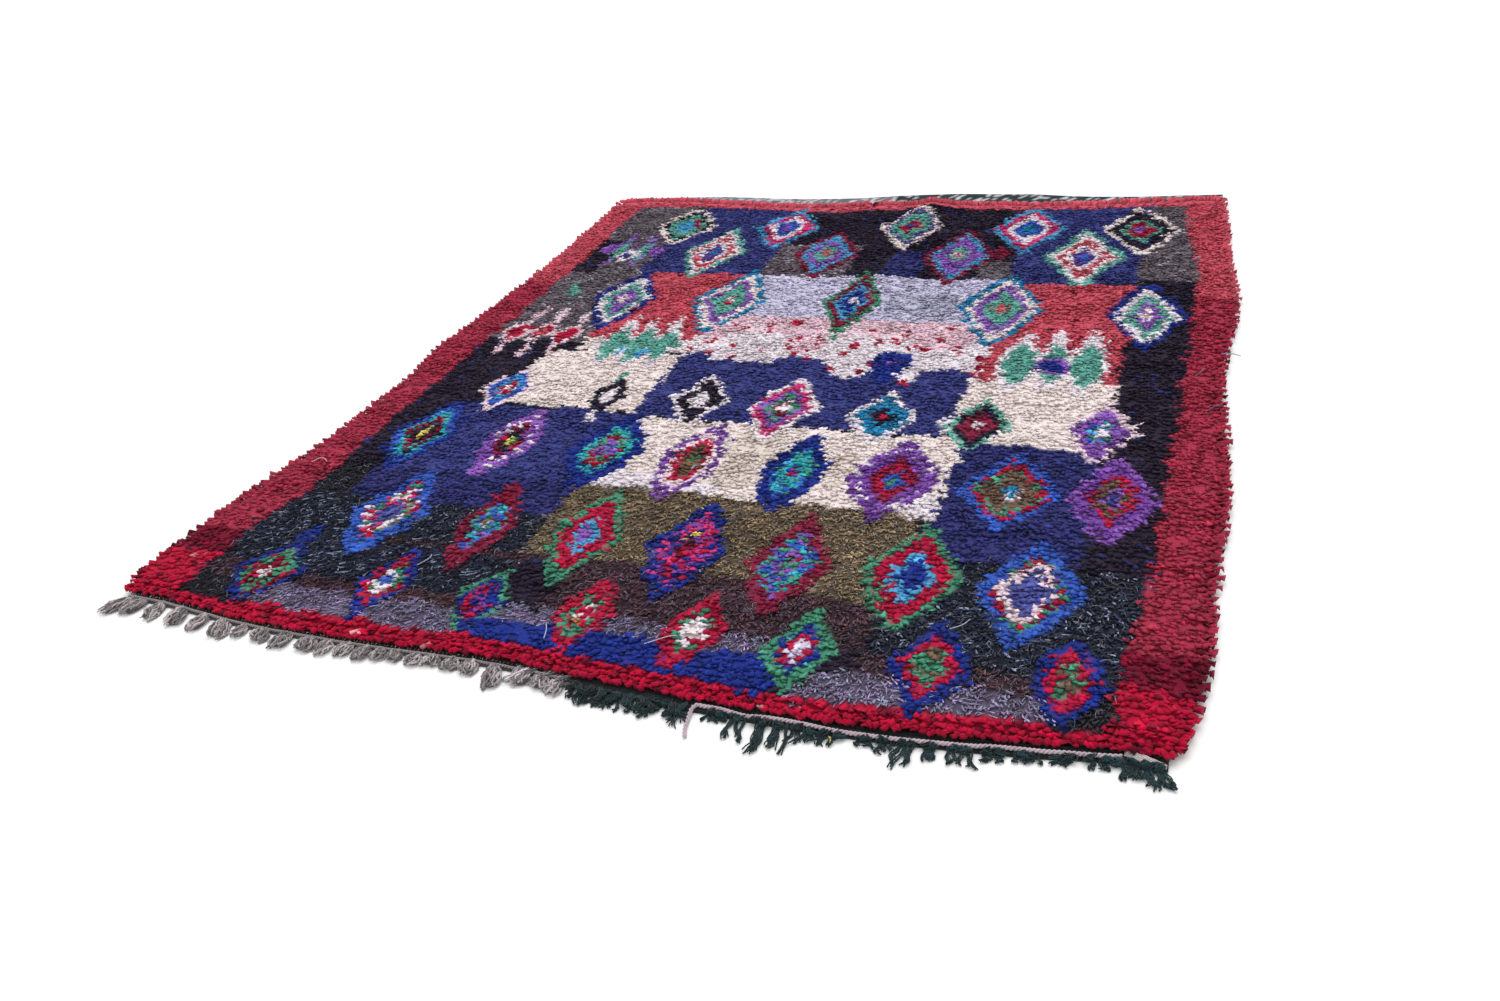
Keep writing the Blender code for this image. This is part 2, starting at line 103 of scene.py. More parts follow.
YARNS = {
    "coral": Yarn(0.65, 0.17, 0.275, 0.09, "crimson", 0.05),
    "brick": Yarn(0.78, 0.31, 0.38, 0.08, "crimson", 0.02),
    "scarlet": Yarn(0.71, 0.02, 0.21, 0.10, "crimson", 0.06),
    "crimson": Yarn(0.46, 0.01, 0.16, 0.12),
    "wine": Yarn(0.52, 0.10, 0.24, 0.14),
    "red": Yarn(0.69, 0.06, 0.24, 0.12),
    "salmon": Yarn(0.80, 0.40, 0.42, 0.12),
    "magenta": Yarn(0.80, 0.22, 0.48, 0.12),
    "blush": Yarn(0.82, 0.52, 0.55, 0.15),
    "pink": Yarn(0.91, 0.78, 0.83, 0.07),
    "pale": Yarn(0.93, 0.84, 0.88, 0.06),
    "cream": Yarn(0.94, 0.89, 0.88, 0.035),
    "beige": Yarn(0.87, 0.82, 0.79, 0.06),
    "white": Yarn(0.93, 0.89, 0.92, 0.045),
    "lilac": Yarn(0.80, 0.78, 0.88, 0.08),
    "dove": Yarn(0.70, 0.69, 0.78, 0.10),
    "navy": Yarn(0.22, 0.24, 0.50, 0.10),
    "slate": Yarn(0.18, 0.19, 0.43, 0.14),
    "black": Yarn(0.14, 0.10, 0.18, 0.16, "slate", 0.05),
    "charcoal": Yarn(0.42, 0.38, 0.42, 0.16, "ash", 0.05),
    "smoke": Yarn(0.42, 0.37, 0.41, 0.18, "ash", 0.10),
    "ash": Yarn(0.62, 0.60, 0.66, 0.12),
    "heather": Yarn(0.15, 0.18, 0.28, 0.36, "mist", 0.10, True),
    "mist": Yarn(0.60, 0.64, 0.74, 0.12, "", 0.0, True),
    "olive": Yarn(0.59, 0.51, 0.41, 0.22, "straw", 0.06, True),
    "straw": Yarn(0.70, 0.64, 0.50, 0.10, "", 0.0, True),
    "bark": Yarn(0.36, 0.24, 0.30, 0.26, "rust", 0.06, True),
    "rust": Yarn(0.50, 0.33, 0.30, 0.10, "", 0.0, True),
    "thistle": Yarn(0.59, 0.53, 0.67, 0.22, "mist", 0.18, True),
    "soot": Yarn(0.17, 0.16, 0.22, 0.26, "", 0.0, True),
    "royal": Yarn(0.10, 0.18, 0.53, 0.12),
    "blue": Yarn(0.21, 0.36, 0.73, 0.12),
    "sky": Yarn(0.30, 0.62, 0.80, 0.10),
    "petrol": Yarn(0.13, 0.50, 0.68, 0.12),
    "teal": Yarn(0.20, 0.66, 0.70, 0.12),
    "mint": Yarn(0.52, 0.80, 0.72, 0.10),
    "jade": Yarn(0.39, 0.66, 0.61, 0.10),
    "green": Yarn(0.27, 0.55, 0.44, 0.12),
    "forest": Yarn(0.16, 0.38, 0.30, 0.14),
    "moss": Yarn(0.46, 0.42, 0.24, 0.14),
    "umber": Yarn(0.42, 0.33, 0.28, 0.14),
    "iris": Yarn(0.31, 0.33, 0.61, 0.12),
    "purple": Yarn(0.46, 0.26, 0.62, 0.12),
    "violet": Yarn(0.56, 0.36, 0.72, 0.12),
    "plum": Yarn(0.36, 0.24, 0.56, 0.12),
    "yellow": Yarn(0.93, 0.86, 0.42, 0.10),
    "orange": Yarn(0.93, 0.62, 0.42, 0.10),
}

# Rings and touches whose knots change colour from one to the next
MIXES = {
    "confetti": ("red", "white", "green", "magenta"),
    "orchard": ("red", "green", "crimson", "green"),
    "lagoon": ("teal", "sky", "green", "blue"),
    "garden": ("green", "blue", "violet", "teal"),
    "dusk": ("purple", "red", "royal", "magenta"),
    "ember": ("crimson", "red", "black", "crimson"),
    "frost": ("violet", "white", "purple", "violet"),
    "pond": ("green", "dove", "forest", "moss"),
    "reef": ("teal", "red", "blue", "green", "violet"),
    "petal": ("pink", "pale", "pink", "pink", "pale", "red"),
    "thicket": ("green", "moss", "red", "dove"),
    "bloom": ("pink", "salmon", "red", "pale"),
    "pebble": ("white", "orange", "cream", "red"),
    "spruce": ("green", "green", "umber"),
    "candle": ("yellow", "green", "yellow"),
    "tansy": ("yellow", "yellow", "black"),
}

# The border's colours at its far end and by its two near corners, over its coral
BORDER_BANDS = (
    Block(-1.0, 1.0, 0.350, 1.0, "brick"),
    Block(-1.0, 0.0, -1.0, -0.735, "crimson"),
    Block(0.0, 1.0, -1.0, -0.752, "crimson"),
    Block(-1.0, 0.0, -1.0, -0.800, "scarlet"),
    Block(0.0, 1.0, -1.0, -0.820, "scarlet"),
    Block(-1.0, 1.0, -1.0, -0.880, "scarlet"),
)
FIELD_LEFT = (
    EdgePoint(-0.95, -0.700),
    EdgePoint(-0.70, -0.695),
    EdgePoint(-0.60, -0.683),
    EdgePoint(-0.20, -0.683),
    EdgePoint(0.20, -0.680),
    EdgePoint(0.45, -0.684),
    EdgePoint(0.65, -0.690),
    EdgePoint(0.95, -0.703),
)
FIELD_RIGHT = (
    EdgePoint(-0.95, 0.712),
    EdgePoint(-0.80, 0.720),
    EdgePoint(-0.65, 0.733),
    EdgePoint(-0.30, 0.744),
    EdgePoint(0.10, 0.751),
    EdgePoint(0.40, 0.752),
    EdgePoint(0.50, 0.747),
    EdgePoint(0.65, 0.727),
    EdgePoint(0.85, 0.709),
    EdgePoint(0.95, 0.705),
)
FIELD_NEAR = (
    EdgePoint(-0.80, -0.898),
    EdgePoint(-0.40, -0.903),
    EdgePoint(-0.20, -0.900),
    EdgePoint(0.00, -0.906),
    EdgePoint(0.15, -0.914),
    EdgePoint(0.35, -0.922),
    EdgePoint(0.46, -0.914),
    EdgePoint(0.65, -0.904),
    EdgePoint(0.80, -0.898),
)
FIELD_FAR = (
    EdgePoint(-0.80, 0.872),
    EdgePoint(-0.60, 0.868),
    EdgePoint(-0.48, 0.862),
    EdgePoint(-0.33, 0.848),
    EdgePoint(-0.15, 0.836),
    EdgePoint(0.03, 0.846),
    EdgePoint(0.12, 0.860),
    EdgePoint(0.23, 0.840),
    EdgePoint(0.32, 0.844),
    EdgePoint(0.45, 0.848),
    EdgePoint(0.60, 0.856),
    EdgePoint(0.80, 0.868),
)

GROUND = (
    # Far band
    Block(-0.72, -0.494, 0.40, 0.90, "charcoal"),
    Block(-0.50, -0.194, 0.405, 0.90, "navy"),
    Block(-0.195, 0.375, 0.405, 0.90, "black"),
    Block(0.375, 0.655, 0.395, 0.90, "navy"),
    Block(0.635, 0.76, 0.30, 0.90, "charcoal"),
    Block(-0.72, -0.62, 0.40, 0.62, "black"),
    Block(-0.195, 0.01, 0.405, 0.60, "smoke"),
    Block(0.10, 0.18, 0.405, 0.56, "slate"),
    Block(0.305, 0.37, 0.405, 0.52, "charcoal"),
    # Band of brick and lilac
    Block(-0.72, -0.440, 0.03, 0.405, "charcoal"),
    Block(-0.455, -0.195, 0.055, 0.412, "brick"),
    Block(-0.205, 0.400, 0.17, 0.408, "lilac"),
    Block(0.145, 0.300, 0.22, 0.325, "dove"),
    Block(0.400, 0.668, -0.054, 0.392, "brick"),
    Block(0.640, 0.770, -0.10, 0.42, "black"),
    # Scalloped white band
    Block(-0.205, 0.400, 0.085, 0.185, "pink"),
    Block(-0.205, 0.400, -0.055, 0.100, "white"),
    Block(-0.450, -0.198, -0.005, 0.052, "cream"),
    # Cream, navy and black band
    Block(-0.72, -0.500, -0.27, 0.02, "black"),
    Block(-0.510, -0.195, -0.250, -0.012, "cream"),
    Block(-0.197, 0.394, -0.262, -0.030, "navy"),
    Block(0.385, 0.650, -0.282, -0.052, "cream"),
    Block(0.648, 0.770, -0.30, -0.04, "black"),
    # Navy and cream band
    Block(-0.72, -0.560, -0.52, -0.255, "black"),
    Block(-0.580, -0.160, -0.512, -0.256, "navy"),
    Block(-0.168, 0.430, -0.507, -0.266, "cream"),
    Block(-0.168, 0.060, -0.507, -0.455, "white"),
    Block(0.330, 0.430, -0.507, -0.440, "white"),
    Block(0.425, 0.650, -0.600, -0.284, "slate"),
    Block(0.645, 0.770, -0.62, -0.30, "black"),
    # Heather, navy and olive band
    Block(-0.72, -0.560, -0.625, -0.500, "soot"),
    Block(-0.600, -0.180, -0.600, -0.500, "slate"),
    Block(-0.72, -0.180, -0.850, -0.600, "heather"),
    Block(-0.182, 0.405, -0.700, -0.500, "olive"),
    Block(0.400, 0.760, -0.850, -0.598, "heather"),
    Block(0.250, 0.400, -0.728, -0.690, "olive"),
    # Dark brown band and its stripes
    Block(-0.085, 0.250, -0.825, -0.698, "bark"),
    Block(0.250, 0.395, -0.825, -0.728, "bark"),
    Block(-0.495, -0.090, -0.718, -0.703, "bark"),
    Block(-0.500, -0.185, -0.853, -0.818, "bark"),
    Block(-0.69, -0.640, -0.845, -0.805, "bark"),
    Block(0.395, 0.640, -0.865, -0.824, "bark"),
    # Pale yarn, royal and dark corners along the near end
    Block(-0.560, -0.180, -0.930, -0.850, "thistle"),
    Block(-0.170, 0.300, -0.860, -0.822, "thistle"),
    Block(-0.170, 0.300, -0.930, -0.856, "royal"),
    Block(0.310, 0.640, -0.935, -0.862, "thistle"),
    Block(-0.72, -0.600, -0.930, -0.845, "soot"),
    Block(0.655, 0.730, -0.930, -0.830, "soot"),
)

NAVY_SCALLOPS = (
    Lozenge(-0.172, -0.045, 0.032, 0.050, 0.0, 2.2, "navy"),
    Lozenge(-0.100, -0.062, 0.026, 0.045, 0.0, 2.2, "navy"),
    Lozenge(-0.040, -0.062, 0.028, 0.045, 0.0, 2.2, "navy"),
    Lozenge(0.050, -0.060, 0.062, 0.066, 0.0, 2.6, "navy"),
    Lozenge(0.160, -0.040, 0.040, 0.034, 0.0, 1.6, "white"),
    Lozenge(0.272, -0.050, 0.026, 0.034, 0.0, 1.3, "white"),
    Lozenge(0.340, -0.078, 0.048, 0.060, 0.0, 2.2, "navy"),
)

# Patches where the pink yarn and the white yarn of the scalloped band mix, and the ivory ones of the cream band
PATCHES = (
    Lozenge(0.035, 0.062, 0.048, 0.046, 0.0, 1.8, "petal"),
    Lozenge(0.300, 0.088, 0.058, 0.026, 0.0, 1.8, "pink"),
    Lozenge(-0.165, 0.092, 0.030, 0.020, 0.0, 1.8, "pink"),
    Lozenge(-0.085, 0.130, 0.034, 0.032, 0.0, 1.8, "pale"),
    Lozenge(0.105, 0.120, 0.034, 0.030, 0.0, 1.8, "pale"),
    Lozenge(0.205, 0.112, 0.022, 0.020, 0.0, 1.8, "pale"),
    Lozenge(0.075, -0.350, 0.050, 0.080, 0.0, 1.8, "beige"),
    Lozenge(0.060, -0.445, 0.070, 0.026, 0.0, 1.8, "beige"),
    Lozenge(0.245, -0.395, 0.026, 0.060, 0.0, 1.8, "beige"),
)

LOZENGES = (
    # Far row
    Lozenge(-0.500, 0.719, 0.086, 0.139, -0.012, 1.0, "cream black jade jade sky sky"),
    Lozenge(-0.219, 0.712, 0.081, 0.146, 0.000, 1.1, "sky magenta white blue purple"),
    Lozenge(0.097, 0.716, 0.075, 0.151, -0.010, 1.1, "cream plum jade jade red navy"),
    Lozenge(0.374, 0.711, 0.086, 0.151, -0.008, 1.1, "sky magenta white blue petrol"),
    Lozenge(0.622, 0.708, 0.082, 0.152, -0.018, 1.1, "cream black black jade red violet"),
    # Second row
    Lozenge(-0.617, 0.556, 0.027, 0.122, -0.006, 1.0, "violet jade jade"),
    Lozenge(-0.547, 0.544, 0.027, 0.120, -0.010, 1.0, "violet jade jade"),
    Lozenge(-0.650, 0.556, 0.026, 0.044, 0.000, 1.0, "violet"),
    Lozenge(-0.508, 0.544, 0.022, 0.040, 0.000, 1.0, "violet"),
    Lozenge(-0.580, 0.516, 0.036, 0.046, 0.000, 1.0, "white navy"),
    Lozenge(-0.353, 0.542, 0.080, 0.170, -0.002, 1.0, "jade white brick white plum petrol"),
    Lozenge(-0.067, 0.544, 0.080, 0.165, -0.010, 1.0, "wine sky violet jade salmon"),
    Lozenge(0.244, 0.544, 0.080, 0.172, -0.004, 1.0, "wine sky violet violet jade bloom"),
    Lozenge(0.338, 0.561, 0.020, 0.036, 0.000, 1.2, "wine"),
    Lozenge(0.516, 0.544, 0.090, 0.176, -0.010, 1.0, "jade white brick white plum blue"),
    # Third row
    Lozenge(-0.461, 0.253, 0.080, 0.165, -0.016, 1.1, "royal white jade violet pale"),
    Lozenge(-0.203, 0.263, 0.086, 0.178, 0.000, 1.1, "petrol cream violet jade jade bloom"),
    Lozenge(0.077, 0.270, 0.065, 0.178, -0.008, 1.0, "green wine sky royal white"),
    Lozenge(0.388, 0.260, 0.090, 0.180, -0.004, 1.1, "petrol cream violet jade jade salmon"),
    Lozenge(0.667, 0.249, 0.074, 0.170, -0.006, 1.1, "royal white jade violet cream"),
    Lozenge(-0.614, 0.292, 0.016, 0.050, -0.016, 1.0, "jade"),
    # Combs on black
    Lozenge(-0.630, 0.160, 0.016, 0.042, 0.004, 1.0, "pink"),
    Lozenge(-0.572, 0.160, 0.016, 0.042, 0.000, 1.0, "pale"),
    Lozenge(-0.510, 0.150, 0.014, 0.040, -0.002, 1.0, "pale"),
    Lozenge(-0.632, -0.010, 0.013, 0.050, -0.006, 1.0, "pink"),
    Lozenge(-0.566, -0.015, 0.013, 0.050, -0.006, 1.0, "petal"),
    Lozenge(-0.505, -0.005, 0.013, 0.045, -0.006, 1.0, "pink"),
    Lozenge(-0.635, 0.068, 0.038, 0.070, 0.000, 1.0, "pale red red"),
    Lozenge(-0.572, 0.070, 0.034, 0.065, 0.000, 1.0, "pale red salmon"),
    Lozenge(-0.508, 0.062, 0.035, 0.070, 0.000, 1.0, "pale red red"),
    # Combs on the left brick block
    Lozenge(-0.318, 0.030, 0.122, 0.030, 0.000, 1.3, "white"),
    Lozenge(-0.384, 0.125, 0.014, 0.055, 0.004, 1.0, "white"),
    Lozenge(-0.332, 0.120, 0.014, 0.055, 0.000, 1.0, "white"),
    Lozenge(-0.274, 0.125, 0.015, 0.055, 0.000, 1.0, "white"),
    Lozenge(-0.375, 0.028, 0.036, 0.108, 0.000, 1.2, "white jade jade jade"),
    Lozenge(-0.318, 0.028, 0.036, 0.108, -0.004, 1.2, "white jade jade jade"),
    Lozenge(-0.262, 0.030, 0.036, 0.108, -0.004, 1.2, "white jade jade jade"),
    Lozenge(-0.320, 0.032, 0.110, 0.018, 0.000, 1.3, "jade"),
    Lozenge(-0.346, -0.010, 0.009, 0.022, 0.000, 1.0, "sky"),
    Lozenge(-0.290, -0.012, 0.011, 0.022, 0.000, 1.0, "sky"),
    # Combs on the right brick block
    Lozenge(0.462, 0.130, 0.017, 0.040, 0.000, 1.0, "white"),
    Lozenge(0.524, 0.125, 0.017, 0.042, 0.000, 1.0, "white"),
    Lozenge(0.583, 0.125, 0.018, 0.045, 0.000, 1.0, "white"),
    Lozenge(0.522, -0.030, 0.096, 0.045, 0.000, 2.4, "cream"),
    Lozenge(0.461, 0.022, 0.040, 0.118, 0.000, 1.4, "white jade jade jade"),
    Lozenge(0.524, 0.022, 0.032, 0.118, 0.000, 1.4, "white jade jade"),
    Lozenge(0.584, 0.022, 0.040, 0.118, 0.000, 1.4, "white jade jade jade"),
    Lozenge(0.523, 0.016, 0.032, 0.028, 0.000, 2.6, "violet royal royal"),
    # Royal block on the white band
    Lozenge(0.232, 0.000, 0.038, 0.046, 0.000, 2.6, "royal royal violet"),
    Lozenge(0.228, -0.045, 0.026, 0.046, 0.000, 1.4, "royal"),
    # Fourth row
    Lozenge(-0.507, -0.194, 0.056, 0.098, 0.000, 1.0, "pale blue sky red white"),
    Lozenge(-0.278, -0.195, 0.038, 0.070, -0.002, 1.1, "black white"),
    Lozenge(-0.284, -0.116, 0.011, 0.024, 0.000, 1.0, "jade"),
    Lozenge(-0.276, -0.278, 0.014, 0.022, 0.000, 1.0, "white"),
    Lozenge(-0.091, -0.189, 0.058, 0.100, -0.004, 1.0, "white black black white white"),
    Lozenge(0.079, -0.200, 0.067, 0.120, 0.002, 1.1, "white magenta violet green wine white"),
    Lozenge(0.264, -0.208, 0.068, 0.100, -0.004, 1.0, "white petrol petrol black red"),
    Lozenge(0.395, -0.220, 0.036, 0.030, 0.000, 1.0, "white"),
    Lozenge(0.433, -0.217, 0.056, 0.092, 0.000, 1.1, "jade black wine wine white"),
    Lozenge(0.634, -0.217, 0.055, 0.102, 0.002, 1.1, "pale violet violet lagoon white"),
    # Fifth row
    Lozenge(-0.575, -0.385, 0.066, 0.130, 0.000, 1.2, "royal blue teal ember black tansy"),
    Lozenge(-0.383, -0.385, 0.058, 0.126, 0.000, 1.3, "violet frost frost ember black candle"),
    Lozenge(-0.188, -0.389, 0.068, 0.130, 0.000, 1.3, "royal royal teal orchard reef reef"),
    Lozenge(-0.018, -0.401, 0.054, 0.126, 0.002, 1.4, "purple pale red umber thicket"),
    Lozenge(0.167, -0.408, 0.056, 0.122, 0.002, 1.4, "royal royal lagoon teal dusk"),
    Lozenge(0.333, -0.405, 0.073, 0.121, 0.004, 1.2, "purple frost purple wine red blue green"),
    Lozenge(0.519, -0.417, 0.079, 0.112, 0.000, 1.1, "blue blue red green umber umber umber white petrol"),
    Lozenge(0.672, -0.411, 0.065, 0.120, 0.000, 1.2, "violet purple purple red umber violet navy"),
    # Sixth row
    Lozenge(-0.475, -0.634, 0.071, 0.134, -0.004, 1.1, "blue blue confetti confetti iris iris"),
    Lozenge(-0.281, -0.640, 0.050, 0.128, -0.008, 1.2, "wine crimson garden garden pond"),
    Lozenge(-0.097, -0.640, 0.058, 0.130, -0.004, 1.1, "green red red sky violet"),
    Lozenge(0.076, -0.648, 0.060, 0.130, -0.002, 1.2, "royal dusk dusk dusk crimson"),
    Lozenge(0.241, -0.654, 0.065, 0.127, 0.000, 1.1, "wine wine garden garden violet orchard"),
    Lozenge(0.422, -0.651, 0.073, 0.130, 0.002, 1.1, "green red red sky royal royal"),
    Lozenge(0.587, -0.657, 0.071, 0.124, 0.004, 1.1, "blue blue orchard pale iris iris iris"),
    # Nearest row
    Lozenge(-0.578, -0.726, 0.020, 0.028, 0.000, 1.6, "royal"),
    Lozenge(-0.581, -0.823, 0.066, 0.082, 0.000, 1.1, "royal orchard orchard ember pebble"),
    Lozenge(-0.357, -0.812, 0.044, 0.092, 0.000, 1.1, "royal red orchard white blue"),
    Lozenge(-0.179, -0.826, 0.044, 0.076, 0.000, 1.1, "green royal red dusk dusk"),
    Lozenge(-0.008, -0.823, 0.042, 0.084, 0.000, 1.1, "red red green orchard pebble pebble"),
    Lozenge(0.162, -0.829, 0.046, 0.084, 0.002, 1.1, "red red orchard white cream"),
    Lozenge(0.317, -0.834, 0.050, 0.085, 0.000, 1.1, "green green royal red lilac lilac"),
    Lozenge(0.489, -0.832, 0.052, 0.087, 0.002, 1.1, "royal royal red red spruce spruce spruce"),
    Lozenge(0.658, -0.823, 0.048, 0.087, 0.002, 1.1, "royal royal red red spruce spruce spruce"),
)

# Small touches over the lozenges
TOUCHES = (
    Lozenge(-0.480, 0.742, 0.010, 0.050, -0.022, 1.0, "red"),
    Lozenge(0.090, -0.192, 0.010, 0.024, 0.000, 1.0, "white"),
    Lozenge(0.072, -0.618, 0.010, 0.018, 0.000, 1.4, "tansy"),
    Lozenge(0.518, -0.408, 0.012, 0.012, 0.000, 1.4, "petrol"),
    Lozenge(0.300, -0.944, 0.009, 0.005, 0.000, 1.6, "blush"),
    Lozenge(-0.330, -0.930, 0.010, 0.006, 0.000, 1.4, "blush"),
    Lozenge(-0.205, -0.930, 0.007, 0.007, 0.000, 1.4, "blush"),
    Lozenge(0.338, -0.930, 0.006, 0.012, 0.000, 1.4, "thistle"),
    Lozenge(-0.735, -0.810, 0.008, 0.006, 0.000, 1.4, "blush"),
    Lozenge(-0.612, 0.092, 0.010, 0.014, 0.000, 1.4, "red"),
)

# Red flecks along the scallops of the white band: X, Y, half width and half height
RED_FLECKS = (
    (-0.064, 0.150, 0.008, 0.020),
    (-0.058, 0.116, 0.007, 0.018),
    (-0.006, 0.156, 0.008, 0.012),
    (-0.135, 0.140, 0.005, 0.012),
    (-0.116, 0.116, 0.006, 0.012),
    (-0.164, 0.070, 0.007, 0.012),
    (-0.176, 0.050, 0.011, 0.008),
    (-0.106, 0.040, 0.008, 0.010),
    (-0.153, 0.008, 0.009, 0.008),
    (-0.036, 0.018, 0.006, 0.014),
    (-0.102, -0.004, 0.007, 0.010),
    (-0.189, 0.012, 0.006, 0.008),
    (-0.008, 0.154, 0.009, 0.014),
    (0.013, 0.088, 0.007, 0.016),
    (0.022, 0.008, 0.007, 0.010),
    (0.160, 0.132, 0.009, 0.008),
    (0.226, 0.132, 0.006, 0.024),
    (0.213, 0.098, 0.007, 0.014),
    (0.183, 0.080, 0.006, 0.014),
    (0.144, 0.058, 0.008, 0.016),
    (0.127, 0.032, 0.011, 0.008),
    (0.251, 0.072, 0.007, 0.014),
    (0.278, 0.064, 0.010, 0.012),
    (0.314, 0.148, 0.006, 0.022),
    (0.337, 0.076, 0.007, 0.016),
    (0.348, 0.052, 0.007, 0.014),
    (0.388, 0.030, 0.016, 0.010),
    (0.302, 0.102, 0.005, 0.014),
    (0.058, -0.002, 0.006, 0.012),
    (0.120, -0.028, 0.008, 0.010),
    (0.272, -0.078, 0.010, 0.012),
    (0.388, -0.030, 0.013, 0.010),
    (0.395, -0.002, 0.007, 0.010),
    (0.190, -0.012, 0.006, 0.014),
    (0.175, -0.040, 0.006, 0.012),
)


def edge_at(table, along):
    """The edge's places at distances along it: a smooth curve through the table's points."""
    knots = np.array([point.along for point in table])
    places = np.array([point.place for point in table])
    along = np.clip(along, knots[0], knots[-1])
    index = np.clip(np.searchsorted(knots, along, side="right") - 1, 0, len(knots) - 2)
    slopes = np.empty_like(places)
    slopes[1:-1] = (places[2:] - places[:-2]) / (knots[2:] - knots[:-2])
    slopes[0] = (places[1] - places[0]) / (knots[1] - knots[0])
    slopes[-1] = (places[-1] - places[-2]) / (knots[-1] - knots[-2])
    span = knots[index + 1] - knots[index]
    part = (along - knots[index]) / span
    rise = places[index + 1] - places[index]
    bend = part * (1.0 - part)
    start = slopes[index] * span - rise
    end = slopes[index + 1] * span - rise
    return places[index] + rise * part + bend * ((1.0 - part) * start - part * end)


def smooth_noise(x, y, pitch, layer):
    """Noise from -1 to 1: random values at the corners of a square grid, blended smoothly between them."""
    side = 256
    values = np.random.default_rng(layer).uniform(-1.0, 1.0, (side, side))
    across = x / pitch
    along = y / pitch
    column = np.floor(across).astype(int)
    row = np.floor(along).astype(int)
    u = across - column
    v = along - row
    u = u * u * (3.0 - 2.0 * u)
    v = v * v * (3.0 - 2.0 * v)
    near = values[row % side, column % side] * (1.0 - u) + values[row % side, (column + 1) % side] * u
    far = (
        values[(row + 1) % side, column % side] * (1.0 - u)
        + values[(row + 1) % side, (column + 1) % side] * u
    )
    return near * (1.0 - v) + far * v


NAMES = list(YARNS) + list(MIXES)


def paint_lozenge(yarns, x, y, lozenge, ragged):
    """Rings of equal width inside a lozenge, measured by the powers of the shares of its half sizes."""
    up = (y - lozenge.y) / lozenge.half_height
    out = (x - lozenge.x - lozenge.lean * up) / lozenge.half_width
    power = lozenge.roundness
    radius = (np.abs(out) ** power + np.abs(up) ** power) ** (1.0 / power) + ragged
    rings = lozenge.rings.split()
    inside = radius < 1.0
    ring = np.clip(((1.0 - radius) * len(rings)).astype(int), 0, len(rings) - 1)
    numbers = np.array([NAMES.index(name) for name in rings])
    yarns[inside] = numbers[ring[inside]]


def chart(x, y):
    """The yarn of each knot, painted in layers: the border, the blocks, the lozenges and the small touches."""
    chance = np.random.default_rng(5)
    wander_x = x + 0.005 * smooth_noise(x, y, 0.022, 21) + chance.uniform(-0.0015, 0.0015, x.shape)
    wander_y = y + 0.005 * smooth_noise(x, y, 0.022, 22) + chance.uniform(-0.0015, 0.0015, x.shape)
    yarns = np.full(x.shape, NAMES.index("coral"))
    for band in BORDER_BANDS:
        within = (wander_x > band.left) & (wander_x < band.right) & (wander_y > band.near) & (wander_y < band.far)
        yarns[within] = NAMES.index(band.yarn)
    inside = (
        (wander_x > edge_at(FIELD_LEFT, y))
        & (wander_x < edge_at(FIELD_RIGHT, y))
        & (wander_y > edge_at(FIELD_NEAR, x))
        & (wander_y < edge_at(FIELD_FAR, x))
    )
    yarns[inside] = NAMES.index("black")
    for block in GROUND:
        within = (
            inside
            & (wander_x > block.left)
            & (wander_x < block.right)
            & (wander_y > block.near)
            & (wander_y < block.far)
        )
        yarns[within] = NAMES.index(block.yarn)
    ragged = 0.05 * chance.uniform(-1.0, 1.0, x.shape) + 0.05 * smooth_noise(x, y, 0.03, 31)
    for lozenge in NAVY_SCALLOPS + PATCHES:
        paint_lozenge(yarns, x, y, lozenge, ragged)
    for fleck in RED_FLECKS:
        paint_lozenge(yarns, x, y, Lozenge(*fleck, 0.0, 1.4, "red"), ragged)
    for lozenge in LOZENGES + TOUCHES:
        paint_lozenge(yarns, x, y, lozenge, ragged)
    mixed = yarns >= len(YARNS)
    picks = chance.random(x.shape)
    for number, members in enumerate(MIXES.values()):
        of_mix = mixed & (yarns == len(YARNS) + number)
        choice = (picks[of_mix] * len(members)).astype(int)
        yarns[of_mix] = np.array([NAMES.index(member) for member in members])[choice]
    return yarns


def knot_colours(yarns, palette, each, chance):
    """A colour for each cut end: its yarn's, or now and then its fleck's, with a shade for its knot and its own."""
    spread = np.array([yarn.spread for yarn in YARNS.values()])
    share = np.array([yarn.fleck_share for yarn in YARNS.values()])
    fine = np.array([yarn.fine for yarn in YARNS.values()])
    fleck = np.array([NAMES.index(yarn.fleck or name) for name, yarn in YARNS.items()])
    knot_luck = np.repeat(chance.random(yarns.shape), each)
    knot_shade = np.repeat(chance.standard_normal(yarns.shape), each)
    yarns = np.repeat(yarns, each)
    luck = np.where(fine[yarns], chance.random(yarns.shape), knot_luck)
    yarns = np.where(luck < share[yarns], fleck[yarns], yarns)
    shade = 1.0 + spread[yarns] * (0.7 * knot_shade + 0.5 * chance.standard_normal(yarns.shape))
    return np.clip(palette[yarns] * shade[..., None], 0.0, 1.0)


